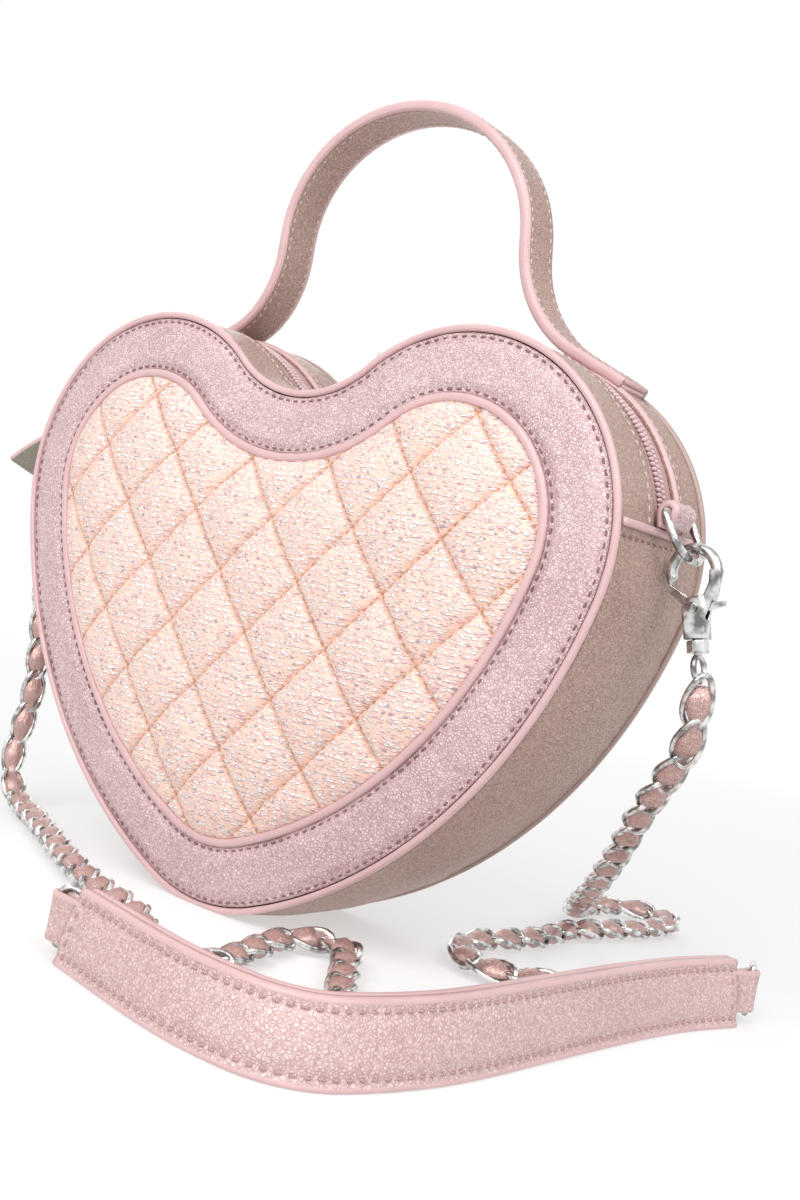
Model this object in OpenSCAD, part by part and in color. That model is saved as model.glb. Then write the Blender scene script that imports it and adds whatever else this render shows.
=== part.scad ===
// Heart shaped top handle purse with a clip-on chain strap.
// The heart stands on its tip: X runs across it, Y from front to back, Z up.
// The origin is the middle of the flat where the tip meets the table.

/* [Heart outline] */
// Width of the heart across both lobes
bag_w = 230; // [220:1:244]
// Depth from the front edge to the back edge
bag_d = 51; // [46:1:60]
// Radius of each lobe
lobe_r = 55; // [52:0.5:58]
// Height of the lobe centres above the table
lobe_z = 122; // [118:1:128]
// Radius of the long sides
side_r = 152.6; // [146:0.2:162]
// Radius of the tip
tip_r = 57; // [50:1:62]
// Radius of the notch between the lobes
notch_r = 38; // [34:1:42]
// Depth by which the tip is pressed flat on the table
tip_press = 0.9; // [0.6:0.1:1.4]

/* [Front and back] */
// Width of the leather border round the quilted heart
border_w = 19.4; // [16:0.2:23]
// Thickness of one layer of leather
leather_t = 1.4; // [1.2:0.1:1.6]
// Rise of the border from its outer edge to its inner edge
border_rise = 2; // [1:0.2:3]
// Width of a rolled and painted edge
edge_w = 2; // [1.6:0.1:2.4]
// Rise of the padded quilted heart at its middle
quilt_rise = 4; // [2:0.5:6]
// Height of the padding between two quilting lines
quilt_puff = 2.7; // [1:0.1:3.4]
// Side of the quilted diamonds that runs down to the right
quilt_down_l = 22.5; // [18:0.1:28]
// Side of the quilted diamonds that runs up to the right
quilt_up_l = 23.9; // [18:0.1:28]
// Slope of the quilting lines
quilt_turn = 48; // [40:0.5:55]
// Thickness of the quilted tweed
tweed_t = 1.5; // [1.2:0.1:2]
// Thickness of a stiffening board
board_t = 1.2; // [1:0.1:1.4]
// Thickness of the lining cloth
lining_t = 0.6; // [0.5:0.1:0.8]

/* [Gusset and zip] */
// Height of the seam between the zip gusset and the lower gusset, over the lobe centres
seam_rise = 8; // [4:1:14]
// Step by which the gusset lies inside the painted edges
gusset_inset = 0.6; // [0.4:0.1:0.7]
// Middle of the zip, behind the middle of the bag
zip_y = 1; // [0:0.5:2]
// Width of the open slot that the zip fills
zip_gap = 14; // [13:0.5:16]
// Width of one row of zip teeth
coil_w = 2; // [1.6:0.1:2.4]
// Thickness of the zip tape
tape_t = 0.6; // [0.5:0.1:0.8]
// Length of the zip slider
slider_l = 10; // [8:0.5:12]
// Length of the zip pull beyond its pivot
pull_l = 14; // [10:0.5:15]
// Angle of the slider from the bottom of the notch
slider_at = 21.6; // [0:0.2:26]
// Reach of the leather tab on the tail of the zip
tail_l = 21; // [16:1:30]
// Drop of the end of that tab
tail_drop = 10.5; // [6:0.5:14]
// Height at which that tab leaves the bag
tail_z = 131.5; // [130:0.5:136]

/* [Handle] */
// Width of the handle strap
handle_w = 15; // [12:0.5:16]
// Middle of the handle, behind the middle of the bag
handle_y = 15.5; // [15:0.1:16.5]
// Half the span of the handle
handle_span = 48.5; // [46:0.5:58]
// Height of the handle's arch over its straight ends
handle_arch = 42.5; // [38:0.5:60]
// Height of the ends of the arch above the tops of the lobes
handle_rise = 34; // [23:1:36]
// Radius of the flare at each foot of the handle
foot_r = 35; // [24:0.5:38]
// Lean of the top of the arch to the left, as it stands in the photo
handle_lean = 4; // [0:0.5:8]
// Lean of the top of the arch to the front
handle_nod = 3.5; // [0:0.5:8]

/* [Rings and hooks] */
// Wire of the D-rings
ring_wire = 2.2; // [1.8:0.1:2.6]
// Clear width of the D-rings
ring_w = 13; // [12:0.5:15]
// Straight leg of the D-rings
ring_leg = 6; // [5:0.5:7]
// Wire of the hooks
hook_wire = 3; // [2.6:0.1:3.2]
// Radius of a hook's bow to the middle of its wire
bow_r = 6.2; // [6:0.1:6.6]
// Radius of the gate rivet
rivet_r = 0.8; // [0.7:0.05:0.9]
// Lean of the hooks from the vertical
hook_lean = 15; // [10:1:18]

/* [Strap] */
// Width of the chain with the leather woven through it
chain_w = 8; // [7:0.2:8]
// Height of the shoulder pad as it stands on its long edge
pad_h = 18.5; // [15:0.5:24]
// Thickness of the shoulder pad
pad_t = 4; // [3:0.2:4.4]
// Lean of the top edge of the pad towards the bag
pad_lean = 4; // [2:0.5:6]

/* [Hidden] */

// Clearances and small sizes that many pieces share
gap = 0.3;
fit = 0.05;
overrun = 1;
round_fn = 48;
lobe_steps = 16;
side_steps = 10;
tip_steps = 5;
notch_steps = 6;

// Centres and meeting angles of the arcs of the heart
front_y = -bag_d / 2;
back_y = bag_d / 2;
lobe_x = bag_w / 2 - lobe_r;
lobe_c = [lobe_x, lobe_z];
tip_c = [0, tip_r - tip_press];
function side_centre() =
  let (ra = side_r - lobe_r, rb = side_r - tip_r, v = lobe_c - tip_c, l = norm(v), u = v / l,
       a = (rb * rb - ra * ra + l * l) / (2 * l), h = sqrt(rb * rb - a * a))
  tip_c + u * a - [u[1], -u[0]] * h;
side_c = side_centre();
notch_c = [0, lobe_z + sqrt(pow(lobe_r + notch_r, 2) - lobe_x * lobe_x)];
tip_a = atan2(tip_c[1] - side_c[1], tip_c[0] - side_c[0]);
side_a = atan2(lobe_z - side_c[1], lobe_x - side_c[0]);
lobe_a = atan2(notch_c[1] - lobe_z, -lobe_x);
seam_a = asin(seam_rise / lobe_r);

// Outline of the heart, moved outwards by d, as points in X and Z
function arc(c, r, a0, a1, n) = [for (i = [0:n]) let (a = a0 + (a1 - a0) * i / n) c + r * [cos(a), sin(a)]];
function rest(p) = [for (i = [1:len(p) - 1]) p[i]];
function flip(p) = [for (i = [len(p) - 1:-1:0]) [-p[i][0], p[i][1]]];
function backwards(p) = [for (i = [len(p) - 1:-1:0]) p[i]];
function tip_half(d) = arc(tip_c, tip_r + d, -90, tip_a, tip_steps);
function side_arc(d) = rest(arc(side_c, side_r + d, tip_a, side_a, side_steps));
function lobe_part(d, a0, n) = arc(lobe_c, lobe_r + d, a0, lobe_a, n);
function notch_half(d) = rest(arc(notch_c, notch_r - d, lobe_a - 180, -90, notch_steps));
function right_half(d) =
  concat(tip_half(d), side_arc(d), rest(lobe_part(d, side_a, lobe_steps)), notch_half(d));
function inner_points(p) = [for (i = [1:len(p) - 2]) p[i]];
function heart(d) = concat(right_half(d), flip(inner_points(right_half(d))));
function upper_path(d, a = seam_a) =
  let (half = concat(lobe_part(d, a, lobe_steps), notch_half(d))) concat(half, rest(flip(half)));
function lower_path(d) =
  let (half = concat(tip_half(d), side_arc(d), rest(arc(lobe_c, lobe_r + d, side_a, seam_a, 3))))
  concat(flip(rest(half)), half);
function band(outer, inner) = concat(outer, backwards(inner));
function heart_x(z, d) = lobe_x + sqrt(pow(lobe_r + d, 2) - pow(z - lobe_z, 2));

// Solids that run along Y, from y0 to y1, from a shape drawn in X and Z
module along_y(y0, y1) translate([0, y1, 0]) rotate([90, 0, 0]) linear_extrude(y1 - y0) children();
module on_both_sides(side) if (side > 0) children(); else mirror([1, 0, 0]) children();
module on_table() difference() {
  children();
  translate([-bag_w, -bag_w, -bag_w]) cube([2 * bag_w, 2 * bag_w, bag_w]);
}

// A closed roll that follows the whole heart; the profile lists [offset, y]
module heart_roll(profile) {
  n = len(heart(0));
  m = len(profile);
  points = [for (p = profile, q = heart(p[0])) [q[0], p[1], q[1]]];
  faces = [for (i = [0:m - 1], j = [0:n - 1])
    let (a = i * n + j, b = i * n + (j + 1) % n, c = (i + 1) % m * n + (j + 1) % n, d = (i + 1) % m * n + j)
    each [[a, b, c], [a, c, d]]];
  polyhedron(points, faces);
}

// Height of the rim of the heart at offset d, over and under the place x
function ring_z(c, r, x, way) = c[1] + way * sqrt(max(r * r - pow(x - c[0], 2), 0));
function high_rim(x, d) = abs(x) > lobe_x + (lobe_r + d) * cos(lobe_a)
  ? ring_z(lobe_c, lobe_r + d, abs(x), 1) : ring_z(notch_c, notch_r - d, x, -1);
function low_rim(x, d) = abs(x) > lobe_x + (lobe_r + d) * cos(side_a)
  ? ring_z(lobe_c, lobe_r + d, abs(x), -1)
  : abs(x) > (tip_r + d) * cos(tip_a) ? ring_z(side_c, side_r + d, abs(x), -1)
  : ring_z(tip_c, tip_r + d, x, -1);

// Distance from a point to the rim of the heart at offset d
function arc_room(v, r, a0, a1) = let (a = atan2(v[1], v[0])) a < a0 || a > a1 ? bag_w : abs(r - norm(v));
function rim_room(p, d) = let (q = [abs(p[0]), p[1]]) min(
  arc_room(q - lobe_c, lobe_r + d, side_a, lobe_a), arc_room(q - side_c, side_r + d, tip_a, side_a),
  arc_room(q - tip_c, tip_r + d, -90, tip_a), arc_room(q - notch_c, notch_r - d, -90, lobe_a - 180));

// The padding swells between two families of quilting lines
middle_share = 0.5;
puff_keep = 5;
puff_soft = 2.2;
quilt_start = [4.2, 116.4];
quilt_down = quilt_down_l * [cos(quilt_turn), -sin(quilt_turn)];
quilt_up = quilt_up_l * [cos(quilt_turn), sin(quilt_turn)];
function turned(a, b) = a[0] * b[1] - a[1] * b[0];
function swell(p) = let (v = p - quilt_start, k = turned(quilt_down, quilt_up))
  sqrt(abs(sin(180 * turned(v, quilt_up) / k) * sin(180 * turned(quilt_down, v) / k)));
function dome(room, d) = 1 - pow(1 - min(room / (lobe_r + d - puff_keep), 1), 2);

// A padded heart in columns, each from the low rim to the high rim. A face is given as its place
// in Y at the rim, its rise in the middle, the swell between the lines and its number of rows
pad_columns = 34;
module padded_heart(d, front, back) {
  n = pad_columns;
  function column_x(i) = -(lobe_x + lobe_r + d) * cos(180 * i / n);
  function spot(i, share) = let (x = column_x(i), low = low_rim(x, d))
    [x, low + (high_rim(x, d) - low) * share];
  function padded(p, face) =
    let (room = min(rim_room(p, d), high_rim(p[0], d) - p[1], p[1] - low_rim(p[0], d)))
    [p[0], face[0] - face[1] * dome(room, d) - face[2] * swell(p) * (1 - exp(-room / puff_soft)), p[1]];
  function grid(face) = concat([for (i = [0, n]) padded(spot(i, middle_share), face)],
    [for (i = [1:n - 1], j = [0:face[3]]) padded(spot(i, j / face[3]), face)]);
  function at(i, j, m) = i == 0 ? 0 : i == n ? 1 : 2 + (i - 1) * (m + 1) + j;
  function cells(m, start, turn) = [for (i = [0:n - 1], j = [0:m - 1])
    let (a = start + at(i, j, m), b = start + at(i, j + 1, m), c = start + at(i + 1, j + 1, m),
         e = start + at(i + 1, j, m))
    each [if (a != b) turn ? [a, c, b] : [a, b, c], if (c != e) turn ? [a, e, c] : [a, c, e]]];
  under = len(grid(front));
  fm = front[3];
  bm = back[3];
  walls = [for (i = [0:n - 1]) let (
      a = at(i, 0, fm), b = at(i + 1, 0, fm), c = at(i, fm, fm), e = at(i + 1, fm, fm),
      a2 = under + at(i, 0, bm), b2 = under + at(i + 1, 0, bm), c2 = under + at(i, bm, bm),
      e2 = under + at(i + 1, bm, bm))
    each [[a, b, b2], [a, b2, a2], [e, c, c2], [e, c2, e2]]];
  polyhedron(concat(grid(front), grid(back)), concat(cells(fm, 0, false), cells(bm, under, true), walls));
}

// Faces in the front of the bag, from the outside in
trim_rise = 0.6;
border_in = -border_w;
border_y = front_y + leather_t / 3;
quilt_d = border_in - edge_w - gap;
board_y = front_y + leather_t + gap + board_t / 2;
module edge_roll(y0, y1) heart_roll([
  [0, y0 + edge_w / 4], [0, y1 - edge_w / 4], [-edge_w / 4, y1],
  [-edge_w, y1], [-edge_w, y0], [-edge_w / 4, y0]]);

module front_edge_trim() color("#cc9a9f") on_table() edge_roll(front_y, front_y + edge_w + gap);
module back_edge_trim() color("#cc9a9f") on_table() edge_roll(back_y - edge_w - gap, back_y);

module front_border() color("#cba3a6") {
  d0 = -edge_w - gap;
  heart_roll([
    [d0, border_y], [d0, border_y + leather_t],
    [border_in, border_y + leather_t - border_rise], [border_in, border_y - border_rise]]);
}

module front_border_trim() color("#d39a9d") {
  y0 = border_y - border_rise - trim_rise;
  y1 = y0 + leather_t + trim_rise;
  d0 = border_in - gap / 3;
  d1 = d0 - edge_w;
  heart_roll([[d0, y0 + trim_rise], [d0, y1], [d1, y1], [d1, y0 + trim_rise], [(d0 + d1) / 2, y0]]);
}

quilt_edge_y = border_y - border_rise;
quilt_rows = 22;
wadding_rows = 8;
module front_quilted_panel() color("#f2c4ad") padded_heart(
  quilt_d, [quilt_edge_y, quilt_rise, quilt_puff, quilt_rows],
  [quilt_edge_y + tweed_t, quilt_rise, 0, wadding_rows]);

module front_wadding() color("white") padded_heart(
  quilt_d, [quilt_edge_y + tweed_t + gap / 3, quilt_rise, 0, wadding_rows], [board_y - gap / 3, 0, 0, 1]);

module plate(d, y0, y1) along_y(y0, y1) polygon(heart(d));

module front_board() color("#b9a894") plate(-edge_w - gap - leather_t, board_y, board_y + board_t);

module back_panel() color("#c59ea1") plate(-edge_w - gap, back_y - leather_t - gap / 3, back_y - gap / 3);

back_board_y = back_y - leather_t - 2 * gap - board_t;
module back_board() color("#b9a894") plate(-edge_w - gap - leather_t, back_board_y, back_board_y + board_t);

// The gusset is a strip of leather inside the two painted edges
strip_y0 = front_y + edge_w + 2 * gap;
strip_y1 = back_y - edge_w - 2 * gap;
strip_out = -gusset_inset;
strip_in = strip_out - leather_t;
slot_y0 = zip_y - zip_gap / 2;
slot_y1 = zip_y + zip_gap / 2;

module zip_gusset_front() color("#bd999b")
  along_y(strip_y0, slot_y0) polygon(band(upper_path(strip_out), upper_path(strip_in)));

module zip_gusset_back() color("#bd999b")
  along_y(slot_y1, strip_y1) polygon(band(upper_path(strip_out), upper_path(strip_in)));

seam_gap_a = 0.4;
module lower_gusset() color("#b99698") on_table() difference() {
  along_y(strip_y0, strip_y1) polygon(band(lower_path(strip_out), lower_path(strip_in)));
  for (side = [1, -1]) on_both_sides(side) translate([lobe_x, strip_y0 - overrun, lobe_z])
    rotate([0, -seam_a + seam_gap_a, 0]) cube([2 * lobe_r, bag_d, lobe_r]);
}

// A folded edge along the top of the lower gusset, laid over the seam
seam_trim_h = 2.2;
seam_trim_t = 1;
module seam_trim(side) color("#cc9a9f") on_both_sides(side) {
  a1 = seam_a + seam_trim_h / lobe_r * 90 / PI;
  a0 = a1 - seam_trim_h / lobe_r * 180 / PI;
  r0 = strip_out + gap / 6;
  along_y(strip_y0, strip_y1) polygon(band(
    arc(lobe_c, lobe_r + r0 + seam_trim_t, a0, a1, 2), arc(lobe_c, lobe_r + r0, a0, a1, 2)));
}
module seam_trim_left() seam_trim(-1);
module seam_trim_right() seam_trim(1);

// The zip: two tapes under the slot, each with a row of teeth on it
tape_lap = 3;
zip_a = seam_a + 2;
tape_out = strip_in - gap / 3;
tape_in = tape_out - tape_t;
coil_out = strip_out - gap;
module zip_tape(y0, y1) color("#b07f86")
  along_y(y0, y1) polygon(band(upper_path(tape_out, zip_a), upper_path(tape_in, zip_a)));
module zip_tape_front() zip_tape(slot_y0 - tape_lap, zip_y - gap / 6);
module zip_tape_back() zip_tape(zip_y + gap / 6, slot_y1 + tape_lap);

module zip_teeth(y0) color("#c98f94")
  along_y(y0, y0 + coil_w) polygon(band(upper_path(coil_out, zip_a), upper_path(tape_out + gap / 6, zip_a)));
module zip_teeth_front() zip_teeth(zip_y - coil_w - gap / 3);
module zip_teeth_back() zip_teeth(zip_y + gap / 3);

// The slider is curved about the centre of the notch, so that it follows the teeth there
slider_w = 8;
slider_t = 1.4;
slider_flange = 1.1;
bail_h = 3.2;
bail_w = 2.6;
bail_t = 1.2;
pin_r = 0.75;
slider_r = notch_r - coil_out - gap;
module in_notch(a) translate([notch_c[0], zip_y, notch_c[1]]) rotate([0, -a, 0]) children();
module notch_sector(r0, r1, w, l) rotate([90, 0, 0]) translate([0, 0, -w / 2]) linear_extrude(w)
  polygon(band(
    arc([0, 0], r1, -90 - l / r1 * 90 / PI, -90 + l / r1 * 90 / PI, 6),
    arc([0, 0], r0, -90 - l / r1 * 90 / PI, -90 + l / r1 * 90 / PI, 6)));
pivot_r = slider_r - slider_t - bail_h / 2;
module zip_slider() color("silver") in_notch(slider_at) difference() {
  union() {
    notch_sector(slider_r - slider_t, slider_r, slider_w, slider_l);
    for (s = [-1, 1]) translate([0, s * (slider_w - slider_flange) / 2, 0])
      notch_sector(slider_r - slider_t, notch_r - tape_out - gap, slider_flange, slider_l);
    for (s = [-1, 1]) translate([0, s * (bail_w / 2 + gap + bail_t / 2), 0])
      translate([-bail_h / 2, -bail_t / 2, -slider_r + slider_t - gap]) cube([bail_h, bail_t, bail_h + gap]);
  }
  translate([0, 0, -pivot_r]) rotate([90, 0, 0])
    cylinder(r = pin_r + fit, h = slider_w, center = true, $fn = round_fn);
}

// The pull turns on a pin through the two ears of the slider
pull_w = 5;
pull_t = 1.4;
module zip_pull() color("silver") in_notch(slider_at) translate([0, 0, -pivot_r]) {
  rotate([90, 0, 0]) cylinder(r = pin_r, h = bail_w + 2 * gap + 2 * bail_t, center = true, $fn = round_fn);
  difference() {
    union() {
      rotate([90, 0, 0]) cylinder(r = pin_r + pull_t / 2, h = bail_w, center = true, $fn = round_fn);
      translate([-pull_t / 2, -bail_w / 2, 0]) cube([pull_t, bail_w, pull_l / 3]);
      translate([-pull_t / 2, -pull_w / 2, pull_l / 3]) cube([pull_t, pull_w, pull_l * 2 / 3]);
    }
    translate([0, 0, pull_l - pull_w / 2]) rotate([0, 90, 0])
      cylinder(r = pull_w / 5, h = 2 * pull_t, center = true, $fn = round_fn);
  }
}

// The tail of the zip is bound in a leather tab that stands out at the left end and droops
tail_w = 11.5;
tail_t = 2.4;
tail_y = -13.5;
tail_roll = 30;
tail_shares = [[0, 0], [0.35, 0.25], [0.7, 0.62], [1, 1]];
tail_x = heart_x(tail_z, strip_out) + seam_trim_t + 4 * gap;
function tail_edge(up) = [for (s = tail_shares) [-tail_x - s[0] * tail_l, up * tail_t / 2 - s[1] * tail_drop]];
module zip_tail_tab() color("#a99a94") translate([0, tail_y, tail_z])
  multmatrix([[1, 0, 0, 0], [0, 1, 0, 0], [0, -tan(tail_roll), 1, 0], [0, 0, 0, 1]])
    along_y(-tail_w * cos(tail_roll) / 2, tail_w * cos(tail_roll) / 2)
      polygon(band(tail_edge(1), tail_edge(-1)));

// The lining hangs from the zip slot and is open there
lining_out = tape_in - gap;
lining_y = board_y + board_t + gap;
lining_y1 = back_board_y - gap;
module lining() color("#caa7a2") difference() {
  plate(lining_out, lining_y, lining_y1);
  plate(lining_out - lining_t, lining_y + lining_t, lining_y1 - lining_t);
  along_y(slot_y0, slot_y1)
    polygon(band(upper_path(overrun, zip_a), upper_path(lining_out - 2 * overrun, zip_a)));
}

// The handle: an arch that flares at its feet and is sewn to the back strip of the zip gusset
handle_z = lobe_z + lobe_r + handle_rise;
foot_a = 50;
land_a = 66;
tilt_room = 22;
function arch_point(a, d) = [(handle_span + d) * cos(a), handle_z + (handle_arch + d) * sin(a)];
function foot_point(a, d) = [handle_span + foot_r - (foot_r - d) * cos(a), handle_z - (foot_r - d) * sin(a)];
handle_end_z = foot_point(foot_a - gap, -leather_t)[1];
function handle_path(d) = concat(
  [for (i = [0:4]) foot_point(foot_a - gap - (foot_a - gap) * i / 4, d)],
  [for (i = [1:19]) arch_point(180 * i / 20, d)],
  [for (i = [0:4]) let (p = foot_point((foot_a - gap) * i / 4, d)) [-p[0], p[1]]]);
handle_end = foot_point(foot_a, 0)[1];
lean_h = handle_z + handle_arch - handle_end;
module handle_layer(d0, d1)
  multmatrix([[1, 0, -handle_lean / lean_h, handle_lean * handle_end / lean_h],
              [0, 1, -handle_nod / lean_h, handle_nod * handle_end / lean_h], [0, 0, 1, 0]])
  along_y(handle_y - handle_w / 2, handle_y + handle_w / 2) polygon(band(handle_path(d1), handle_path(d0)));
module handle_outer_leather() color("#c9a0a3") handle_layer(gap / 6, leather_t);
module handle_lining_leather() color("#c9a0a3") handle_layer(-leather_t, -gap / 6);

// Each foot of the handle turns flat on its lobe and ends in a sewn tab
tab_end_a = 30;
module handle_foot(side) color("#c9a0a3") on_both_sides(side) difference() {
  r0 = lobe_r + strip_out + gap;
  meet_a = 90 - tab_end_a / 2;
  along_y(handle_y - handle_w / 2, handle_y + handle_w / 2) polygon(concat(
    [for (i = [0:3]) foot_point(foot_a + gap + (land_a - foot_a - gap) * i / 3, leather_t)],
    arc(lobe_c, r0 + 2 * leather_t, meet_a, 90 - tab_end_a, 3),
    arc(lobe_c, r0, 90 - tab_end_a, 90 - tab_end_a / 8, 5),
    [for (i = [3:-1:0]) foot_point(foot_a + gap + (land_a - foot_a - gap) * i / 3, -leather_t)]));
  for (s = [-1, 1]) translate([lobe_x, handle_y, handle_end_z - gap]) rotate([s * tilt_room, 0, 0])
    translate([-lobe_r, -bag_d, 0]) cube([2 * lobe_r, 2 * bag_d, lobe_r]);
}
module handle_foot_left() handle_foot(-1);
module handle_foot_right() handle_foot(1);

// A D-ring, with its straight bar along Y and its bow hanging down
module d_ring(w, wire, leg) {
  r = (w + wire) / 2;
  rotate([90, 0, 0]) cylinder(d = wire, h = 2 * r, center = true, $fn = round_fn);
  for (s = [-1, 1]) translate([0, s * r, -leg]) cylinder(d = wire, h = leg, $fn = round_fn);
  for (s = [-1, 1]) translate([0, s * r, 0]) sphere(d = wire, $fn = round_fn);
  translate([0, 0, -leg]) rotate([0, 90, 0]) rotate([0, 0, -90])
    rotate_extrude(angle = 180, $fn = 2 * round_fn) translate([r, 0]) circle(d = wire, $fn = round_fn / 2);
}

// The bar of each bag D-ring lies in a leather loop, by its angle on the lobe
loop_t = 2;
bar_a = 13.6;
ring_tilt = 32;
loop_r = ring_wire / 2 + fit + loop_t;
loop_base = lobe_r + strip_out + gap;
bar = lobe_c + (loop_base + loop_r) * [cos(bar_a), sin(bar_a)];
ring_drop = ring_leg + (ring_w + ring_wire) / 2;
module d_ring_at(side) color("silver") on_both_sides(side)
  translate([bar[0], zip_y, bar[1]]) rotate([0, -ring_tilt, 0]) d_ring(ring_w, ring_wire, ring_leg);
module d_ring_left() d_ring_at(-1);
module d_ring_right() d_ring_at(1);

// The loop is folded over the bar, and both its ends go down into the seam
tab_a = seam_a + (seam_trim_h + gap) / lobe_r * 90 / PI;
tab_w = 11.5;
function on_lobe(r, a) = lobe_c + r * [cos(a), sin(a)];
module d_ring_tab(side) color("#c9a0a3") on_both_sides(side)
  along_y(zip_y - tab_w / 2, zip_y + tab_w / 2) difference() {
    union() {
      polygon([on_lobe(loop_base, tab_a), on_lobe(loop_base, bar_a),
        on_lobe(loop_base + 2 * loop_r, bar_a), on_lobe(loop_base + 2 * loop_t, tab_a)]);
      translate(bar) circle(r = loop_r, $fn = round_fn);
    }
    translate(bar) circle(r = ring_wire / 2 + fit, $fn = round_fn);
  }
module d_ring_tab_left() d_ring_tab(-1);
module d_ring_tab_right() d_ring_tab(1);

// A hook is drawn upright in X and Z, with the underside of its collar at the origin
collar_h = 3.2;
collar_r = 2.8;
stem_r = 1.2;
head_r = 1.9;
base_h = 4.4;
bow_z = 20.9;
rivet_z = 11.5;
fork_t = 5;
slot_t = 2.2;
gate_t = 1.7;
ring_seat = 2.6;
ring_point = bar + ring_drop * [sin(ring_tilt), -cos(ring_tilt)];
module hook_frame(side) on_both_sides(side)
  translate([ring_point[0], zip_y, ring_point[1]]) rotate([0, -hook_lean, 0])
    translate([0, 0, -bow_z - ring_seat]) children();

bow_a0 = -10;
bow_a1 = 205;
arm_t = 3;
gate_l = 9.6;
arm_root_share = 0.3;
fork_top_share = 0.9;
fork_back_share = 0.6;
module hook_body(side) color("silver") hook_frame(side) difference() {
  union() {
    translate([0, 0, bow_z]) rotate([90, 0, 0]) rotate([0, 0, bow_a0])
      rotate_extrude(angle = bow_a1 - bow_a0, $fn = 2 * round_fn)
        translate([bow_r, 0]) circle(d = hook_wire, $fn = round_fn / 2);
    along_y(-arm_t / 2, arm_t / 2) polygon([
      [collar_r * arm_root_share, rivet_z], [collar_r, rivet_z - arm_t], [collar_r + hook_wire, rivet_z + arm_t],
      [bow_r + hook_wire / 2, bow_z], [bow_r - hook_wire / 2, bow_z],
      [bow_r - hook_wire / 2 - gap, bow_z - bow_r / 2], [collar_r, rivet_z + arm_t + gap]]);
    along_y(-fork_t / 2, fork_t / 2) polygon([
      [-collar_r, collar_h + gap], [collar_r, collar_h + gap], [collar_r + gap, rivet_z],
      [collar_r * fork_top_share, rivet_z + arm_t], [-collar_r * fork_back_share, rivet_z + arm_t],
      [-collar_r - gap, rivet_z]]);
  }
  translate([-2 * bow_r, -slot_t / 2, collar_h + base_h])
    cube([2 * bow_r + collar_r / 2, slot_t, bow_z - rivet_z - bow_r / 3]);
  translate([collar_r / 3, -slot_t / 2, rivet_z - arm_t]) cube([bow_r, slot_t, 1.5 * arm_t]);
  intersection() {
    translate([0, 0, rivet_z]) rotate([90, 0, 0])
      cylinder(r = gate_l + gap, h = 2 * fork_t, center = true, $fn = 2 * round_fn);
    translate([-2 * bow_r, -fork_t, bow_z - bow_r + hook_wire / 2]) cube([2 * bow_r - gap, 2 * fork_t, bow_r]);
  }
  translate([0, 0, rivet_z]) rotate([90, 0, 0])
    cylinder(r = rivet_r + fit, h = 2 * fork_t, center = true, $fn = round_fn);
  cylinder(r = stem_r + fit, h = collar_h + base_h, $fn = round_fn);
  translate([0, 0, collar_h + base_h / 2 - gap]) cylinder(r = head_r + gap / 2, h = base_h, $fn = round_fn);
}
module hook_body_left() hook_body(-1);
module hook_body_right() hook_body(1);

// The gate closes the hook on the inner side, and its thumb lever stands out on the other
gate_r = 1.7;
gate_a = 139;
gate_w = 1.7;
lever_l = 8;
lever_t = 1.2;
gate_root_share = 0.8;
lever_root_share = 0.7;
module hook_gate(side) color("silver") hook_frame(side) translate([0, 0, rivet_z]) difference() {
  union() {
    rotate([90, 0, 0]) cylinder(r = gate_r, h = gate_t, center = true, $fn = round_fn);
    intersection() {
      rotate([90, 0, 0]) cylinder(r = gate_l, h = gate_t, center = true, $fn = 2 * round_fn);
      rotate([0, -gate_a, 0]) along_y(-gate_t / 2, gate_t / 2) polygon([
        [gate_r / 2, -gate_r * gate_root_share], [gate_r / 2, gate_r * gate_root_share],
        [gate_l + overrun, gate_w / 2], [gate_l + overrun, -gate_w / 2]]);
    }
    along_y(-gate_t / 2, gate_t / 2) polygon([
      [gate_r / 2, -gate_r * gate_root_share], [gate_r / 2, gate_r * lever_root_share],
      [lever_l, lever_t], [lever_l, 0]]);
  }
  rotate([90, 0, 0]) cylinder(r = rivet_r + fit, h = 2 * gate_t, center = true, $fn = round_fn);
}
module hook_gate_left() hook_gate(-1);
module hook_gate_right() hook_gate(1);

rivet_head_share = 1.8;
module gate_rivet(side) color("silver") hook_frame(side) translate([0, 0, rivet_z]) rotate([90, 0, 0]) {
  cylinder(r = rivet_r, h = fork_t + 2 * gap, center = true, $fn = round_fn);
  for (s = [-1, 1]) translate([0, 0, s * (fork_t / 2 + gap)])
    cylinder(r = rivet_head_share * rivet_r, h = 2 * gap - fit, center = true, $fn = round_fn);
}
module gate_rivet_left() gate_rivet(-1);
module gate_rivet_right() gate_rivet(1);

// A leaf in the slot below the rivet returns the gate
spring_t = 0.4;
spring_share = 0.4;
module gate_spring(side) color("silver") hook_frame(side) along_y(-gate_t / 2, gate_t / 2)
  polygon([[-collar_r, collar_h + base_h + fit], [collar_r * spring_share, collar_h + base_h + fit],
    [collar_r * spring_share, collar_h + base_h + spring_t],
    [-collar_r - spring_t / 2, collar_h + base_h + 3 * spring_t]]);
module gate_spring_left() gate_spring(-1);
module gate_spring_right() gate_spring(1);

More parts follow.
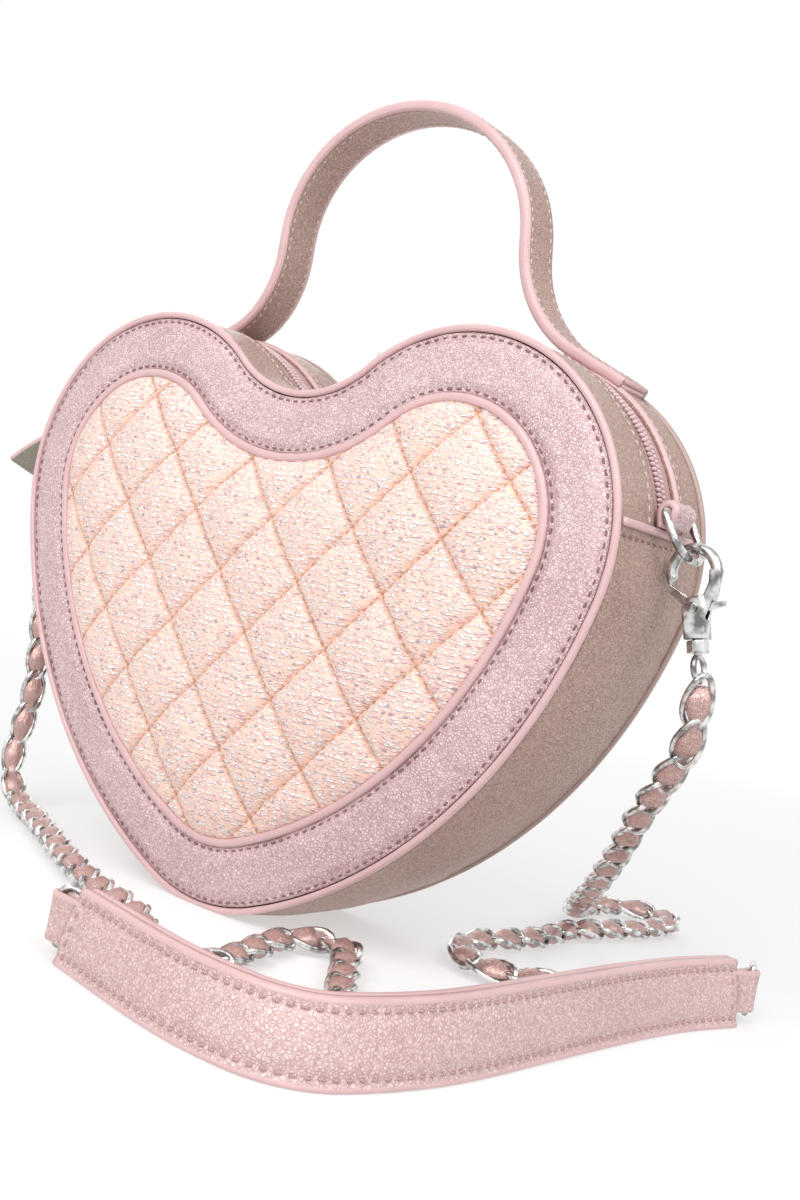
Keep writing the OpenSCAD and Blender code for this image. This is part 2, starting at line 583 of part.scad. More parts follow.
// The swivel: a collar and a headed stem that turns in the hook, and the eye for the chain
eye_r = 3.2;
eye_wire = 1.6;
module hook_swivel(side) color("silver") hook_frame(side) {
  cylinder(r = collar_r, h = collar_h, $fn = round_fn);
  cylinder(r = stem_r, h = collar_h + base_h / 2, $fn = round_fn);
  translate([0, 0, collar_h + base_h / 2]) cylinder(r = head_r, h = base_h / 2 - 2 * gap, $fn = round_fn);
  translate([0, 0, -eye_r - eye_wire / 2 + fit]) rotate([0, 90, 0])
    rotate_extrude($fn = round_fn) translate([eye_r, 0]) circle(d = eye_wire, $fn = round_fn / 2);
}
module hook_swivel_left() hook_swivel(-1);
module hook_swivel_right() hook_swivel(1);

// Routes of the two chains, from the hook's eye to the ring on the pad
chain_left_route = [
  [-131.6, 1, 93.3], [-130, 1, 79], [-127, 1, 61], [-125, 1, 43], [-126, 0, 27], [-125, -2, 15],
  [-117, -5, 7], [-103, -11, 4.2], [-86, -19, 4.2], [-68, -28, 4.2], [-47, -39, 4.2], [-26, -49, 4.2],
  [-6, -57, 4.2], [10, -61, 4.2], [21, -67, 4.2], [31, -74, 4.2], [41, -80, 4.2], [50, -80, 4.2],
  [54, -72, 4.2], [50, -56, 4.2], [45, -38, 4.2], [48, -25, 4.2], [58, -26, 4.2], [69, -39, 4.2],
  [82, -56, 4.2], [94, -68, 4.2], [101, -79, 4.2], [98, -92, 4.2], [85, -97, 4.2], [68, -96, 4.2],
  [52, -93, 5], [41, -92, 7], [35, -94, 9]];
chain_right_route = [
  [131.6, 1, 93.3], [131, 4, 82], [124, 11, 70], [112, 23, 56], [98, 41, 40], [82, 62, 25],
  [67, 83, 15], [55, 103, 7], [48, 121, 4.2], [47, 138, 4.2], [54, 150, 4.2], [66, 151, 4.2],
  [73, 139, 4.2], [72, 120, 4.2], [68, 101, 4.2], [65, 82, 4.2], [67, 62, 4.2], [65, 44, 4.2],
  [63, 30, 4.2], [67, 17, 4.2], [77, 9, 4.2], [89, 10, 4.2], [99, 19, 4.2], [107, 32, 4.2],
  [114, 47, 5], [121, 60, 7], [127, 70, 9]];
chain_sides = 8;
route_ref = [0.5, 0, 0.87];
function unit(v) = v / norm(v);
function heading(p, i) = unit(p[min(i + 1, len(p) - 1)] - p[max(i - 1, 0)]);
module tube(route, r) {
  n = chain_sides;
  m = len(route);
  points = [for (i = [0:m - 1]) let (t = heading(route, i), a = unit(cross(t, route_ref)), b = cross(t, a))
    for (j = [0:n - 1]) route[i] + r * (a * cos(360 * j / n) + b * sin(360 * j / n))];
  sides = [for (i = [0:m - 2], j = [0:n - 1])
    let (a = i * n + j, b = i * n + (j + 1) % n) each [[a, b, b + n], [a, b + n, a + n]]];
  ends = [[for (j = [n - 1:-1:0]) j], [for (j = [0:n - 1]) (m - 1) * n + j]];
  polyhedron(points, concat(sides, ends));
}
module chain_left() color("#c0b3b2") tube(chain_left_route, chain_w / 2);
module chain_right() color("#c0b3b2") tube(chain_right_route, chain_w / 2);

// The shoulder pad stands on its long edge: two leathers with foam between them
pad_route = [
  [34, -105], [44, -107], [56, -109.5], [69, -112], [82, -113.5], [94, -113.5], [104, -112],
  [112, -108], [117.5, -102], [121, -94], [124, -84], [126.5, -71], [127.8, -54], [128.3, -36],
  [129, -12], [130.3, 14], [132.5, 35], [137, 56]];
pad_skin = 1.2;
function pad_side(i) = let (t = heading(pad_route, i)) [-t[1], t[0]];
function pad_corner(i, q, h) =
  let (p = pad_route[i] + pad_side(i) * (q + pad_lean * h / pad_h)) [p[0], p[1], h];
module pad_layer(q0, q1, h0, h1) {
  m = len(pad_route);
  points = [for (i = [0:m - 1]) each [
    pad_corner(i, q0, h0), pad_corner(i, q1, h0), pad_corner(i, q1, h1), pad_corner(i, q0, h1)]];
  sides = [for (i = [0:m - 2], j = [0:3])
    let (a = 4 * i + j, b = 4 * i + (j + 1) % 4) each [[a, a + 4, b + 4], [a, b + 4, b]]];
  ends = [[0, 1, 2, 3], [4 * m - 1, 4 * m - 2, 4 * m - 3, 4 * m - 4]];
  polyhedron(points, concat(sides, ends));
}
module pad_front_leather() color("#cfa8aa") pad_layer(0, pad_skin, 0, pad_h);
module pad_foam() color("white") pad_layer(pad_skin + fit, pad_t - pad_skin - fit, pad_skin, pad_h - pad_skin);
module pad_back_leather() color("#cfa8aa") pad_layer(pad_t - pad_skin, pad_t, 0, pad_h);

// A leather loop and a small D-ring at each end of the pad
pad_tab_h = 12;
pad_tab_l = 9;
pad_ring_wire = 1.8;
pad_ring_leg = 2;
pad_ring_turns = [-140, 35];
pad_end_z = pad_h / 2;
last = len(pad_route) - 1;
pad_ends = [
  [pad_route[0] + pad_side(0) * (pad_t + pad_lean) / 2, -heading(pad_route, 0)],
  [pad_route[last] + pad_side(last) * (pad_t + pad_lean) / 2, heading(pad_route, last)]];
module at_pad_end(k) translate([pad_ends[k][0][0], pad_ends[k][0][1], pad_end_z])
  rotate([0, 0, atan2(pad_ends[k][1][1], pad_ends[k][1][0])]) children();
module pad_tab(k) color("#cfa8aa") at_pad_end(k) translate([0, 0, -pad_tab_h / 2]) linear_extrude(pad_tab_h)
  difference() {
    r = pad_ring_wire / 2 + fit + pad_skin;
    union() {
      translate([gap, -r]) square([pad_tab_l - gap, 2 * r]);
      translate([pad_tab_l, 0]) circle(r = r, $fn = round_fn);
    }
    translate([pad_tab_l, 0]) circle(r = pad_ring_wire / 2 + fit, $fn = round_fn);
  }
module pad_tab_left() pad_tab(0);
module pad_tab_right() pad_tab(1);
module pad_ring(k) color("silver") at_pad_end(k) translate([pad_tab_l, 0, 0])
  rotate([0, 0, pad_ring_turns[k] - 90]) rotate([90, 0, 0])
    d_ring(pad_tab_h + gap, pad_ring_wire, pad_ring_leg);
module pad_ring_left() pad_ring(0);
module pad_ring_right() pad_ring(1);

front_border();
front_border_trim();
front_quilted_panel();
front_wadding();
front_edge_trim();
front_board();
back_panel();
back_edge_trim();
back_board();
zip_gusset_front();
zip_gusset_back();
lower_gusset();
seam_trim_left();
seam_trim_right();
zip_tape_front();
zip_tape_back();
zip_teeth_front();
zip_teeth_back();
zip_tail_tab();
zip_slider();
zip_pull();
lining();
handle_outer_leather();
handle_lining_leather();
handle_foot_left();
handle_foot_right();
d_ring_tab_left();
d_ring_tab_right();
d_ring_left();
d_ring_right();
hook_body_left();
hook_body_right();
hook_gate_left();
hook_gate_right();
gate_rivet_left();
gate_rivet_right();
gate_spring_left();
gate_spring_right();
hook_swivel_left();
hook_swivel_right();
chain_left();
chain_right();
pad_front_leather();
pad_foam();
pad_back_leather();
pad_tab_left();
pad_tab_right();
pad_ring_left();
pad_ring_right();
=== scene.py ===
"""A heart shaped purse of rose leather and quilted tweed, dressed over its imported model."""
import math

import bmesh
import bpy
from mathutils import Matrix, Vector, kdtree, noise
from mathutils.geometry import delaunay_2d_cdt


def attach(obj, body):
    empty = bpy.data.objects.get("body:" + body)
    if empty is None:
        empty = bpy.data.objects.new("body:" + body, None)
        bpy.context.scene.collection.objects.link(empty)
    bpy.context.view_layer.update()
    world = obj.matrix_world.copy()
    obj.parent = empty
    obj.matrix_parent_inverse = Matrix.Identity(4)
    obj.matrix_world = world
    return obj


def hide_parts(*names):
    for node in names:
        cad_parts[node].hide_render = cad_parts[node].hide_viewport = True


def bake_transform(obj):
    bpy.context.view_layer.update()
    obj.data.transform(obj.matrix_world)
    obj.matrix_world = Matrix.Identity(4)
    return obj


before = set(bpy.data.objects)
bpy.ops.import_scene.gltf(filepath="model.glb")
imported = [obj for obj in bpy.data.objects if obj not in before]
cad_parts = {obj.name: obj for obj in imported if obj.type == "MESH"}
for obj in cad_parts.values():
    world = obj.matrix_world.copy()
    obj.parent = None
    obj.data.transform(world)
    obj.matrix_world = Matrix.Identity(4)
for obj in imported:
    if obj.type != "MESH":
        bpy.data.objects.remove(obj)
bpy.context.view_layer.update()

# The camera stands to the right of the bag and level with its middle, and is rolled a little,
# so that the bag leans to the right in the picture as it does in the photograph.
CAMERA_AT = Vector((0.2830, -0.3253, 0.1000))
CAMERA_AIM = Vector((0.0334, 0.0000, 0.1000))
CAMERA_ROLL = math.radians(11.2)
CAMERA_LENS = 41.64
CAMERA_SENSOR = 36.0


def placed(name, data):
    """A new object in the scene."""
    made = bpy.data.objects.new(name, data)
    bpy.context.scene.collection.objects.link(made)
    return made


camera = placed("camera", bpy.data.cameras.new("camera"))
camera.data.lens = CAMERA_LENS
camera.data.sensor_width = CAMERA_SENSOR
ahead = (CAMERA_AIM - CAMERA_AT).normalized()
level = ahead.cross(Vector((0, 0, 1))).normalized()
across = level * math.cos(CAMERA_ROLL) + level.cross(ahead) * math.sin(CAMERA_ROLL)
camera.matrix_world = Matrix.Translation(CAMERA_AT) @ Matrix(
    (across, across.cross(ahead), -ahead)
).transposed().to_4x4()
bpy.context.scene.camera = camera
bpy.context.scene.view_settings.view_transform = "Standard"


# The two strap chains are curb chain with a strip of soft metallic leather woven through it.
# Each link is silver wire, twisted so that the links lie flat; the strip is pinched where two
# links cross and swells up between. They run from the hooks' eyes, over the table, to the pad.
def set_steps(ramp, steps):
    """Flat steps of colour on a ramp, each as (where it starts, colour)."""
    ramp.interpolation = "CONSTANT"
    while len(ramp.elements) < len(steps):
        ramp.elements.new(1.0)
    for element, (position, colour) in zip(ramp.elements, steps):
        element.position = position
        element.color = (*colour, 1.0)


def add_node(tree, kind, settings, sockets):
    """A new node's outputs; each socket takes a value, or the link from another node's output."""
    made = tree.nodes.new(kind)
    for setting, value in settings.items():
        if setting == "steps":
            set_steps(made.color_ramp, value)
        else:
            setattr(made, setting, value)
    for socket, value in sockets.items():
        if isinstance(value, bpy.types.NodeSocket):
            tree.links.new(value, made.inputs[socket])
        else:
            made.inputs[socket].default_value = value
    return made.outputs


class Link:
    """A shader socket; a sum written with it adds its Math node."""

    def __init__(self, finish, socket):
        self.finish = finish
        self.socket = socket

    def maths(self, operation, first, second):
        return self.finish.node("ShaderNodeMath", {"operation": operation}, {0: first, 1: second})

    def __add__(self, other):
        return self.maths("ADD", self, other)

    __radd__ = __add__

    def __sub__(self, other):
        return self.maths("SUBTRACT", self, other)

    def __rsub__(self, other):
        return self.maths("SUBTRACT", other, self)

    def __mul__(self, other):
        return self.maths("MULTIPLY", self, other)

    __rmul__ = __mul__


class Finish:
    """A material, built up from the Principled shader."""

    def __init__(self, name, fixed):
        self.material = bpy.data.materials.new(name)
        self.material.use_nodes = True
        self.tree = self.material.node_tree
        self.shader = self.tree.nodes["Principled BSDF"]
        for socket, value in fixed.items():
            self.shader.inputs[socket].default_value = value

    def node(self, kind, settings, sockets, out=0):
        sockets = {at: value.socket if isinstance(value, Link) else value for at, value in sockets.items()}
        return Link(self, add_node(self.tree, kind, settings, sockets)[out])

    def vector(self, operation, first, second, at=1):
        return self.node("ShaderNodeVectorMath", {"operation": operation}, {0: first, at: second})

    def place(self, scale=(1.0, 1.0, 1.0)):
        """Object coordinates, stretched along each axis."""
        return self.vector("MULTIPLY", self.node("ShaderNodeTexCoord", {}, {}, "Object"), scale)

    def waver(self, spot, size, reach):
        """The spot, moved about by up to half of reach."""
        drift = self.node("ShaderNodeTexNoise", {}, {"Vector": spot, "Scale": 1 / size}, "Color")
        centred = self.vector("SUBTRACT", drift, (0.5, 0.5, 0.5))
        return self.vector("ADD", spot, self.vector("SCALE", centred, reach, "Scale"))

    def cloud(self, spot, size, detail=2.0):
        return self.node("ShaderNodeTexNoise", {}, {"Vector": spot, "Scale": 1 / size, "Detail": detail})

    def cells(self, spot, size, out="Distance", feature="F1"):
        sockets = {"Vector": spot, "Scale": 1 / size}
        return self.node("ShaderNodeTexVoronoi", {"feature": feature}, sockets, out)

    def between(self, factor, low, high):
        """The part of factor from low to high, stretched to 0 and 1."""
        return self.node("ShaderNodeMapRange", {}, {"Value": factor, "From Min": low, "From Max": high})

    def blend(self, factor, first, second, way="MIX"):
        first, second = [c if isinstance(c, Link) else (*c, 1.0) for c in (first, second)]
        settings = {"data_type": "RGBA", "blend_type": way}
        return self.node("ShaderNodeMix", settings, {0: factor, 6: first, 7: second}, 2)

    def emboss(self, height, depth):
        self.feed("Normal", self.node("ShaderNodeBump", {}, {"Height": height, "Distance": depth}))

    def feed(self, socket, link):
        self.tree.links.new(link.socket, self.shader.inputs[socket])


PATCH_SIZE = 0.024
RIPPLE_SIZE = 0.0016
RIPPLE_DEPTH = 0.00003


def leather(name, light, deep, pebble, depth, metallic, roughness):
    """Pebbled faux leather with patches of pearly powder; the creases of its grain are darkened as painted shade.
    """
    finish = Finish(name, {"Metallic": metallic, "Coat Weight": 0.08, "Coat Roughness": 0.35})
    spot = finish.waver(finish.place(), pebble * 2.5, pebble * 1.1)
    crease = finish.between(finish.cells(spot, pebble, feature="DISTANCE_TO_EDGE"), 0.0, 0.34)
    kind = finish.cells(spot, pebble, "Color")
    powder = finish.between(finish.cloud(spot, pebble * 1.3), 0.36, 0.68)
    patch = finish.cloud(spot, PATCH_SIZE)
    # The colour darkens in the creases between the pebbles: painted shade. The powder, the patches and each
    # pebble's tone are the leather's own colour.
    tone_and_crease_shade = crease * (0.46 + 0.22 * kind) + 0.30 * powder + 0.30 * (patch - 0.5)
    finish.feed("Base Color", finish.blend(finish.between(tone_and_crease_shade, -0.05, 0.95), deep, light))
    finish.feed("Roughness", roughness + 0.14 * (1 - crease) - 0.10 * powder)
    finish.emboss(crease * (0.75 + 0.25 * kind), depth)
    return finish.material


def polished_metal(name, colour, reflection_dark_share, reflection_patch_size, roughness):
    """Nickel plate with a faint ripple, and painted reflections: patches of colour as dark as that share of it,
    rougher where they are lighter.
    """
    finish = Finish(name, {"Metallic": 1.0})
    spot = finish.place()
    # Painted reflections: a cloud darkens the colour in patches, and also sets the roughness.
    smear_and_painted_reflection = finish.between(finish.cloud(spot, reflection_patch_size), 0.36, 0.60)
    finish.feed("Base Color", finish.blend(smear_and_painted_reflection, [c * reflection_dark_share for c in colour], colour))
    finish.feed("Roughness", roughness * 0.7 + smear_and_painted_reflection * roughness * 0.7)
    finish.emboss(finish.cloud(spot, RIPPLE_SIZE), RIPPLE_DEPTH)
    return finish.material


woven_leather = leather("woven_leather", (0.78, 0.54, 0.50), (0.34, 0.20, 0.18), 0.0006, 0.00006, 0.50, 0.24)
silver = polished_metal("silver_metal", (0.80, 0.80, 0.79), 0.34, 0.0028, 0.13)


def piece(name, points, faces, finishes, columns=None):
    """A smooth mesh object; columns gives the finish of each column of faces."""
    mesh = bpy.data.meshes.new(name)
    mesh.from_pydata([tuple(p) for p in points], [], faces)
    for finish in finishes:
        mesh.materials.append(finish)
    if columns:
        for polygon in mesh.polygons:
            polygon.material_index = columns[polygon.index % len(columns)]
    shell = bmesh.new()
    shell.from_mesh(mesh)
    bmesh.ops.recalc_face_normals(shell, faces=shell.faces)
    shell.to_mesh(mesh)
    shell.free()
    mesh.shade_smooth()
    return placed(name, mesh)


def skin(name, rows, finishes, loop=False, columns=None):
    """A closed mesh through rows of points that each go round; loop joins the last row to the first."""
    n = len(rows[0])
    faces = []
    for i in range(len(rows) if loop else len(rows) - 1):
        here = i * n
        beyond = (i + 1) % len(rows) * n
        for j in range(n):
            k = (j + 1) % n
            faces.append((here + j, here + k, beyond + k, beyond + j))
    if not loop:
        faces.append(tuple(reversed(range(n))))
        faces.append(tuple((len(rows) - 1) * n + j for j in range(n)))
    return piece(name, [p for row in rows for p in row], faces, finishes, columns)


def fit_to(made, body, slot, *nodes):
    """The piece moves with its body and stands for those nodes; slot is not used."""
    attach(made, body)
    if nodes:
        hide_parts(*nodes)
    return made


def crumple(spot, height, size):
    """Uneven rise and fall of that height, over stretches of that size."""
    return height * noise.noise(spot / size)


def around(count):
    """Cosine and sine of even bearings."""
    return [(math.cos(2 * math.pi * i / count), math.sin(2 * math.pi * i / count)) for i in range(count)]


def rounded(half_width, half_depth, power=2.6, count=14, centre=(0.0, 0.0)):
    """Points round a section between an ellipse and a block; more power makes it squarer."""
    points = []
    for c, s in around(count):
        reach = (abs(c) ** power + abs(s) ** power) ** (-1 / power)
        points.append((centre[0] + half_width * reach * c, centre[1] + half_depth * reach * s))
    return points


def even_line(points, step):
    """Points at even steps along a line."""
    ends = [0.0]
    for a, b in zip(points, points[1:]):
        ends.append(ends[-1] + (b - a).length)
    count = max(2, round(ends[-1] / step))
    line = []
    k = 0
    for i in range(count + 1):
        at = ends[-1] * i / count
        while k < len(points) - 2 and ends[k + 1] < at:
            k += 1
        line.append(points[k].lerp(points[k + 1], (at - ends[k]) / (ends[k + 1] - ends[k])))
    return line


def smooth_line(points, step):
    """A smooth curve through listed points."""
    fine = 16
    knots = [Vector(p) for p in points]
    knots = [2 * knots[0] - knots[1], *knots, 2 * knots[-1] - knots[-2]]
    curve = []
    for a, b, c, d in zip(knots, knots[1:], knots[2:], knots[3:]):
        for i in range(fine):
            t = i / fine
            curve.append(0.5 * (2 * b + (c - a) * t + (2 * a - 5 * b + 4 * c - d) * t**2
                                + (3 * b - a - 3 * c + d) * t**3))
    return even_line([*curve, knots[-2]], step)


def headings(line, loop=False):
    n = len(line)
    if loop:
        return [(line[(i + 1) % n] - line[i - 1]).normalized() for i in range(n)]
    return [(line[min(i + 1, n - 1)] - line[max(i - 1, 0)]).normalized() for i in range(n)]


def made_plain(made):
    """The object with what its modifiers make as plain, smooth mesh."""
    bpy.context.view_layer.update()
    plain = bpy.data.meshes.new_from_object(made.evaluated_get(bpy.context.evaluated_depsgraph_get()))
    made.modifiers.clear()
    made.data = plain
    plain.shade_smooth()
    return made


def line_setter():
    """Geometry nodes that set a small piece at even steps along lines, its X along the line."""
    tree = bpy.data.node_groups.new("set along a line", "GeometryNodeTree")
    for socket, kind in (("Lines", "Geometry"), ("Piece", "Object"), ("Step", "Float"), ("Wobble", "Float"),
                         ("Seed", "Int"), ("Finish", "Material")):
        tree.interface.new_socket(socket, in_out="INPUT", socket_type="NodeSocket" + kind)
    tree.interface.new_socket("Set pieces", in_out="OUTPUT", socket_type="NodeSocketGeometry")

    def node(kind, settings, sockets, out=0):
        return add_node(tree, kind, settings, sockets)[out]

    given = add_node(tree, "NodeGroupInput", {}, {})
    curve = node("GeometryNodeMeshToCurve", {}, {"Mesh": given["Lines"]})
    spaced = node("GeometryNodeResampleCurve", {"mode": "LENGTH"}, {"Curve": curve, "Length": given["Step"]})
    along = node("GeometryNodeInputTangent", {}, {})
    out = node("GeometryNodeInputNamedAttribute", {"data_type": "FLOAT_VECTOR"}, {"Name": "out"}, "Attribute")
    faced = node("FunctionNodeAlignRotationToVector", {"axis": "X"}, {"Vector": along})
    faced = node("FunctionNodeAlignRotationToVector", {"axis": "Z", "pivot_axis": "X"},
                 {"Rotation": faced, "Vector": out})
    chance = node("FunctionNodeRandomValue", {"data_type": "FLOAT"},
                  {"Min": -1.0, "Max": 1.0, "Seed": given["Seed"]}, 1)
    swing = node("ShaderNodeMath", {"operation": "MULTIPLY"}, {0: chance, 1: given["Wobble"]})
    swung = node("FunctionNodeAxisAngleToRotation", {}, {"Axis": (0.0, 0.0, 1.0), "Angle": swing})
    faced = node("FunctionNodeRotateRotation", {"rotation_space": "LOCAL"},
                 {"Rotation": faced, "Rotate By": swung})
    shape = node("GeometryNodeObjectInfo", {}, {"Object": given["Piece"]}, "Geometry")
    ready = node("GeometryNodeInstanceOnPoints", {}, {"Points": spaced, "Instance": shape, "Rotation": faced})
    real = node("GeometryNodeRealizeInstances", {}, {"Geometry": ready})
    painted = node("GeometryNodeSetMaterial", {}, {"Geometry": real, "Material": given["Finish"]})
    add_node(tree, "NodeGroupOutput", {}, {"Set pieces": painted})
    return tree


LINE_SETTER = line_setter()
LINE_SEED = 3


def set_along(name, lines, shape, step, finish, wobble=0.0, loop=False):
    """Copies of shape at even steps along lines, which are lists of (point, outwards)."""
    points = []
    edges = []
    for line in lines:
        start = len(points)
        points += [tuple(p) for p, out in line]
        edges += [(start + i, start + i + 1) for i in range(len(line) - 1)]
        if loop:
            edges.append((start + len(line) - 1, start))
    mesh = bpy.data.meshes.new(name)
    mesh.from_pydata(points, edges, [])
    outwards = mesh.attributes.new("out", "FLOAT_VECTOR", "POINT")
    outwards.data.foreach_set("vector", [c for line in lines for p, out in line for c in out])
    made = placed(name, mesh)
    modifier = made.modifiers.new("set", "NODES")
    modifier.node_group = LINE_SETTER
    values = {"Piece": shape, "Step": step, "Wobble": wobble, "Seed": LINE_SEED, "Finish": finish}
    for socket in LINE_SETTER.interface.items_tree:
        if socket.in_out == "INPUT" and socket.name in values:
            modifier[socket.identifier] = values[socket.name]
    return made_plain(made)


def wire_link(half_length, half_width, wire, twist):
    """One curb link: an oval of wire whose two ends are turned opposite ways, so that it locks flat."""
    line = [Vector((half_length * c, half_width * s, 2 * twist * s * c)) for c, s in around(26)]
    rows = []
    for p, t in zip(line, headings(line, loop=True)):
        side = t.cross(Vector((0, 0, 1))).normalized()
        rows.append([p + wire / 2 * (side * c + side.cross(t) * s) for c, s in around(8)])
    return skin("link", rows, [], loop=True)


CHAIN_WIDTH = 0.0088
LINK_PITCH = 0.0122
LINK_HALF = 0.0074
LINK_WIRE = 0.0018
LINK_TWIST = 0.0012
EYE_LEAD = 0.0041
RING_LEAD = 0.0045
STRIP_PINCH = (0.0015, 0.0007)
STRIP_SWELL = (0.0018, 0.0018)
CHAIN_STEP = 0.0008
CHAIN_REST = 0.0042
CHAIN_LIES = Vector((0.25, -0.45, 0.85))
CHAIN_HANGS = {"left": Vector((0.79, -0.62, 0)), "right": Vector((-0.62, 0.78, 0))}
LANDING = (0.010, 0.034)
# Where a point of a route has no height, the chain lies on the table.
chain_routes = {
    "left": [
        (-0.1316, 0.001, 0.0933), (-0.130, 0.001, 0.079), (-0.127, 0.001, 0.061), (-0.125, 0.001, 0.043),
        (-0.126, 0.000, 0.027), (-0.125, -0.002, 0.015), (-0.117, -0.005, 0.007), (-0.103, -0.011),
        (-0.086, -0.019), (-0.068, -0.028), (-0.047, -0.039), (-0.026, -0.049), (-0.006, -0.057),
        (0.010, -0.061), (0.021, -0.067), (0.031, -0.074), (0.041, -0.080), (0.050, -0.080),
        (0.054, -0.072), (0.050, -0.056), (0.045, -0.038), (0.048, -0.025), (0.058, -0.026),
        (0.069, -0.039), (0.082, -0.056), (0.094, -0.068), (0.101, -0.079), (0.098, -0.092),
        (0.085, -0.097), (0.068, -0.096), (0.052, -0.093, 0.005), (0.041, -0.092, 0.007),
        (0.035, -0.094, 0.009)],
    "right": [
        (0.1316, 0.001, 0.0933), (0.131, 0.004, 0.082), (0.124, 0.011, 0.070), (0.112, 0.023, 0.056),
        (0.098, 0.041, 0.040), (0.082, 0.062, 0.025), (0.067, 0.083, 0.015), (0.055, 0.103, 0.007),
        (0.048, 0.121), (0.047, 0.138), (0.054, 0.150), (0.066, 0.151), (0.073, 0.139), (0.072, 0.120),
        (0.068, 0.101), (0.065, 0.082), (0.067, 0.062), (0.065, 0.044), (0.063, 0.030), (0.067, 0.017),
        (0.077, 0.009), (0.089, 0.010), (0.099, 0.019), (0.107, 0.032), (0.114, 0.047, 0.005),
        (0.121, 0.060, 0.007), (0.127, 0.070, 0.009)]}


def link_face(side, p, t):
    """Which way a link's flat side faces: up where the chain lies, and to the side where it hangs."""
    hanging = min(max((p.z - LANDING[0]) / (LANDING[1] - LANDING[0]), 0), 1)
    face = CHAIN_LIES.lerp(CHAIN_HANGS[side], hanging)
    return (face - t * face.dot(t)).normalized()


link = wire_link(LINK_HALF, CHAIN_WIDTH / 2 - LINK_WIRE / 2, LINK_WIRE, LINK_TWIST)
chains = {}
for side, route in chain_routes.items():
    line = smooth_line([(*p, CHAIN_REST)[:3] for p in route], CHAIN_STEP)
    length = sum((b - a).length for a, b in zip(line, line[1:]))
    linked = length - EYE_LEAD - RING_LEAD
    pitch = linked / round(linked / LINK_PITCH)
    ups = [link_face(side, p, t) for p, t in zip(line, headings(line))]
    rows = []
    for i, (p, t, up) in enumerate(zip(line, headings(line), ups)):
        swell = math.cos(math.pi * (i * length / (len(line) - 1) - EYE_LEAD) / pitch) ** 2
        half_width = STRIP_PINCH[0] + STRIP_SWELL[0] * swell**0.6
        half_depth = STRIP_PINCH[1] + STRIP_SWELL[1] * swell
        row = [p + t.cross(up) * d + up * h for d, h in rounded(half_width, half_depth, power=3.0)]
        rows.append([spot + up * crumple(spot, 0.0003, 0.0035) for spot in row])
    strip = skin(f"chain_{side}_leather", rows, [woven_leather])
    fit_to(strip, "root", "chain", f"chain_{side}")
    first = round(EYE_LEAD / length * (len(line) - 1))
    last = len(line) - 1 - round(RING_LEAD / length * (len(line) - 1))
    linked_line = list(zip(line, ups))[first:last + 1]
    wires = set_along(f"chain_{side}_links", [linked_line], link, pitch * 0.999, silver)
    fit_to(wires, "root", "silver_metal")
    chains[side] = (strip, wires, line, length)
bpy.data.objects.remove(link)


# The front border is a band of rose leather, sewn down with two rows of dark thread; it is a
# little puffed between the rows. Each row sits in the groove that the thread has pulled.
BAG_W = 0.230
BAG_D = 0.051
LOBE_R = 0.055
LOBE_Z = 0.122
SIDE_R = 0.1526
TIP_R = 0.057
NOTCH_R = 0.038
TIP_PRESS = 0.0009
LEATHER = 0.0014
GAP = 0.0003
EDGE_W = 0.002
SEAM_RISE = 0.008
OUTLINE_STEP = 0.0012


def flat(x, z):
    return Vector((x, z))


def bearing(degrees):
    return Vector((math.cos(math.radians(degrees)), math.sin(math.radians(degrees))))


def angle_of(v):
    return math.degrees(math.atan2(v.y, v.x))


lobe_centre = flat(BAG_W / 2 - LOBE_R, LOBE_Z)
tip_centre = flat(0, TIP_R - TIP_PRESS)
between_centres = lobe_centre - tip_centre
apart = between_centres.length
lobe_gap = SIDE_R - LOBE_R
tip_gap = SIDE_R - TIP_R
run = (tip_gap**2 - lobe_gap**2 + apart**2) / (2 * apart)
drop = math.sqrt(tip_gap**2 - run**2)
heading = between_centres / apart
side_centre = tip_centre + heading * run - flat(heading.y, -heading.x) * drop
notch_centre = flat(0, LOBE_Z + math.sqrt((LOBE_R + NOTCH_R) ** 2 - lobe_centre.x**2))
tip_end = angle_of(tip_centre - side_centre)
side_end = angle_of(lobe_centre - side_centre)
lobe_end = angle_of(notch_centre - lobe_centre)
seam_angle = math.degrees(math.asin(SEAM_RISE / LOBE_R))
tip_and_side = [(tip_centre, TIP_R, -90, tip_end, 1), (side_centre, SIDE_R, tip_end, side_end, 1)]
notch = (notch_centre, NOTCH_R, lobe_end - 180, -90, -1)


def lobe(start, end):
    return lobe_centre, LOBE_R, start, end, 1


def walk(arcs, step):
    """Stations along arcs (centre, radius, from, to, side), each as (centre, radius, bearing, side)."""
    stations = []
    for centre, radius, start, end, side in arcs:
        count = max(2, round(math.radians(abs(end - start)) * radius / step))
        stations += [(centre, radius, bearing(start + (end - start) * i / count), side)
                     for i in range(0 if not stations else 1, count + 1)]
    return stations


def mirrored(stations):
    return [(flat(-c.x, c.y), r, flat(-b.x, b.y), s) for c, r, b, s in reversed(stations)]


def lobe_and_notch(start, step=OUTLINE_STEP):
    half = walk([lobe(start, lobe_end), notch], step)
    return half + mirrored(half)[1:]


def whole_heart(step=OUTLINE_STEP):
    half = walk([*tip_and_side, lobe(side_end, lobe_end), notch], step)
    return half + mirrored(half)[1:-1]


def tip_and_sides(end, step):
    half = walk([*tip_and_side, lobe(side_end, end)], step)
    return mirrored(half)[:-1] + half


def off(station, offset, y=0.0):
    """The point at that offset outwards of the outline, no lower than the table."""
    centre, radius, way, side = station
    spot = centre + way * (radius + side * offset)
    return Vector((spot.x, y, max(spot.y, 0.0)))


def outwards(station):
    return Vector((station[2].x * station[3], 0, station[2].y * station[3]))


def ease(share):
    """0 to 1 with soft ends."""
    share = min(max(share, 0.0), 1.0)
    return share * share * (3 - 2 * share)


def hump(distance, width):
    """1 at no distance, and next to 0 from two widths away."""
    return math.exp(-(distance / width) ** 2)


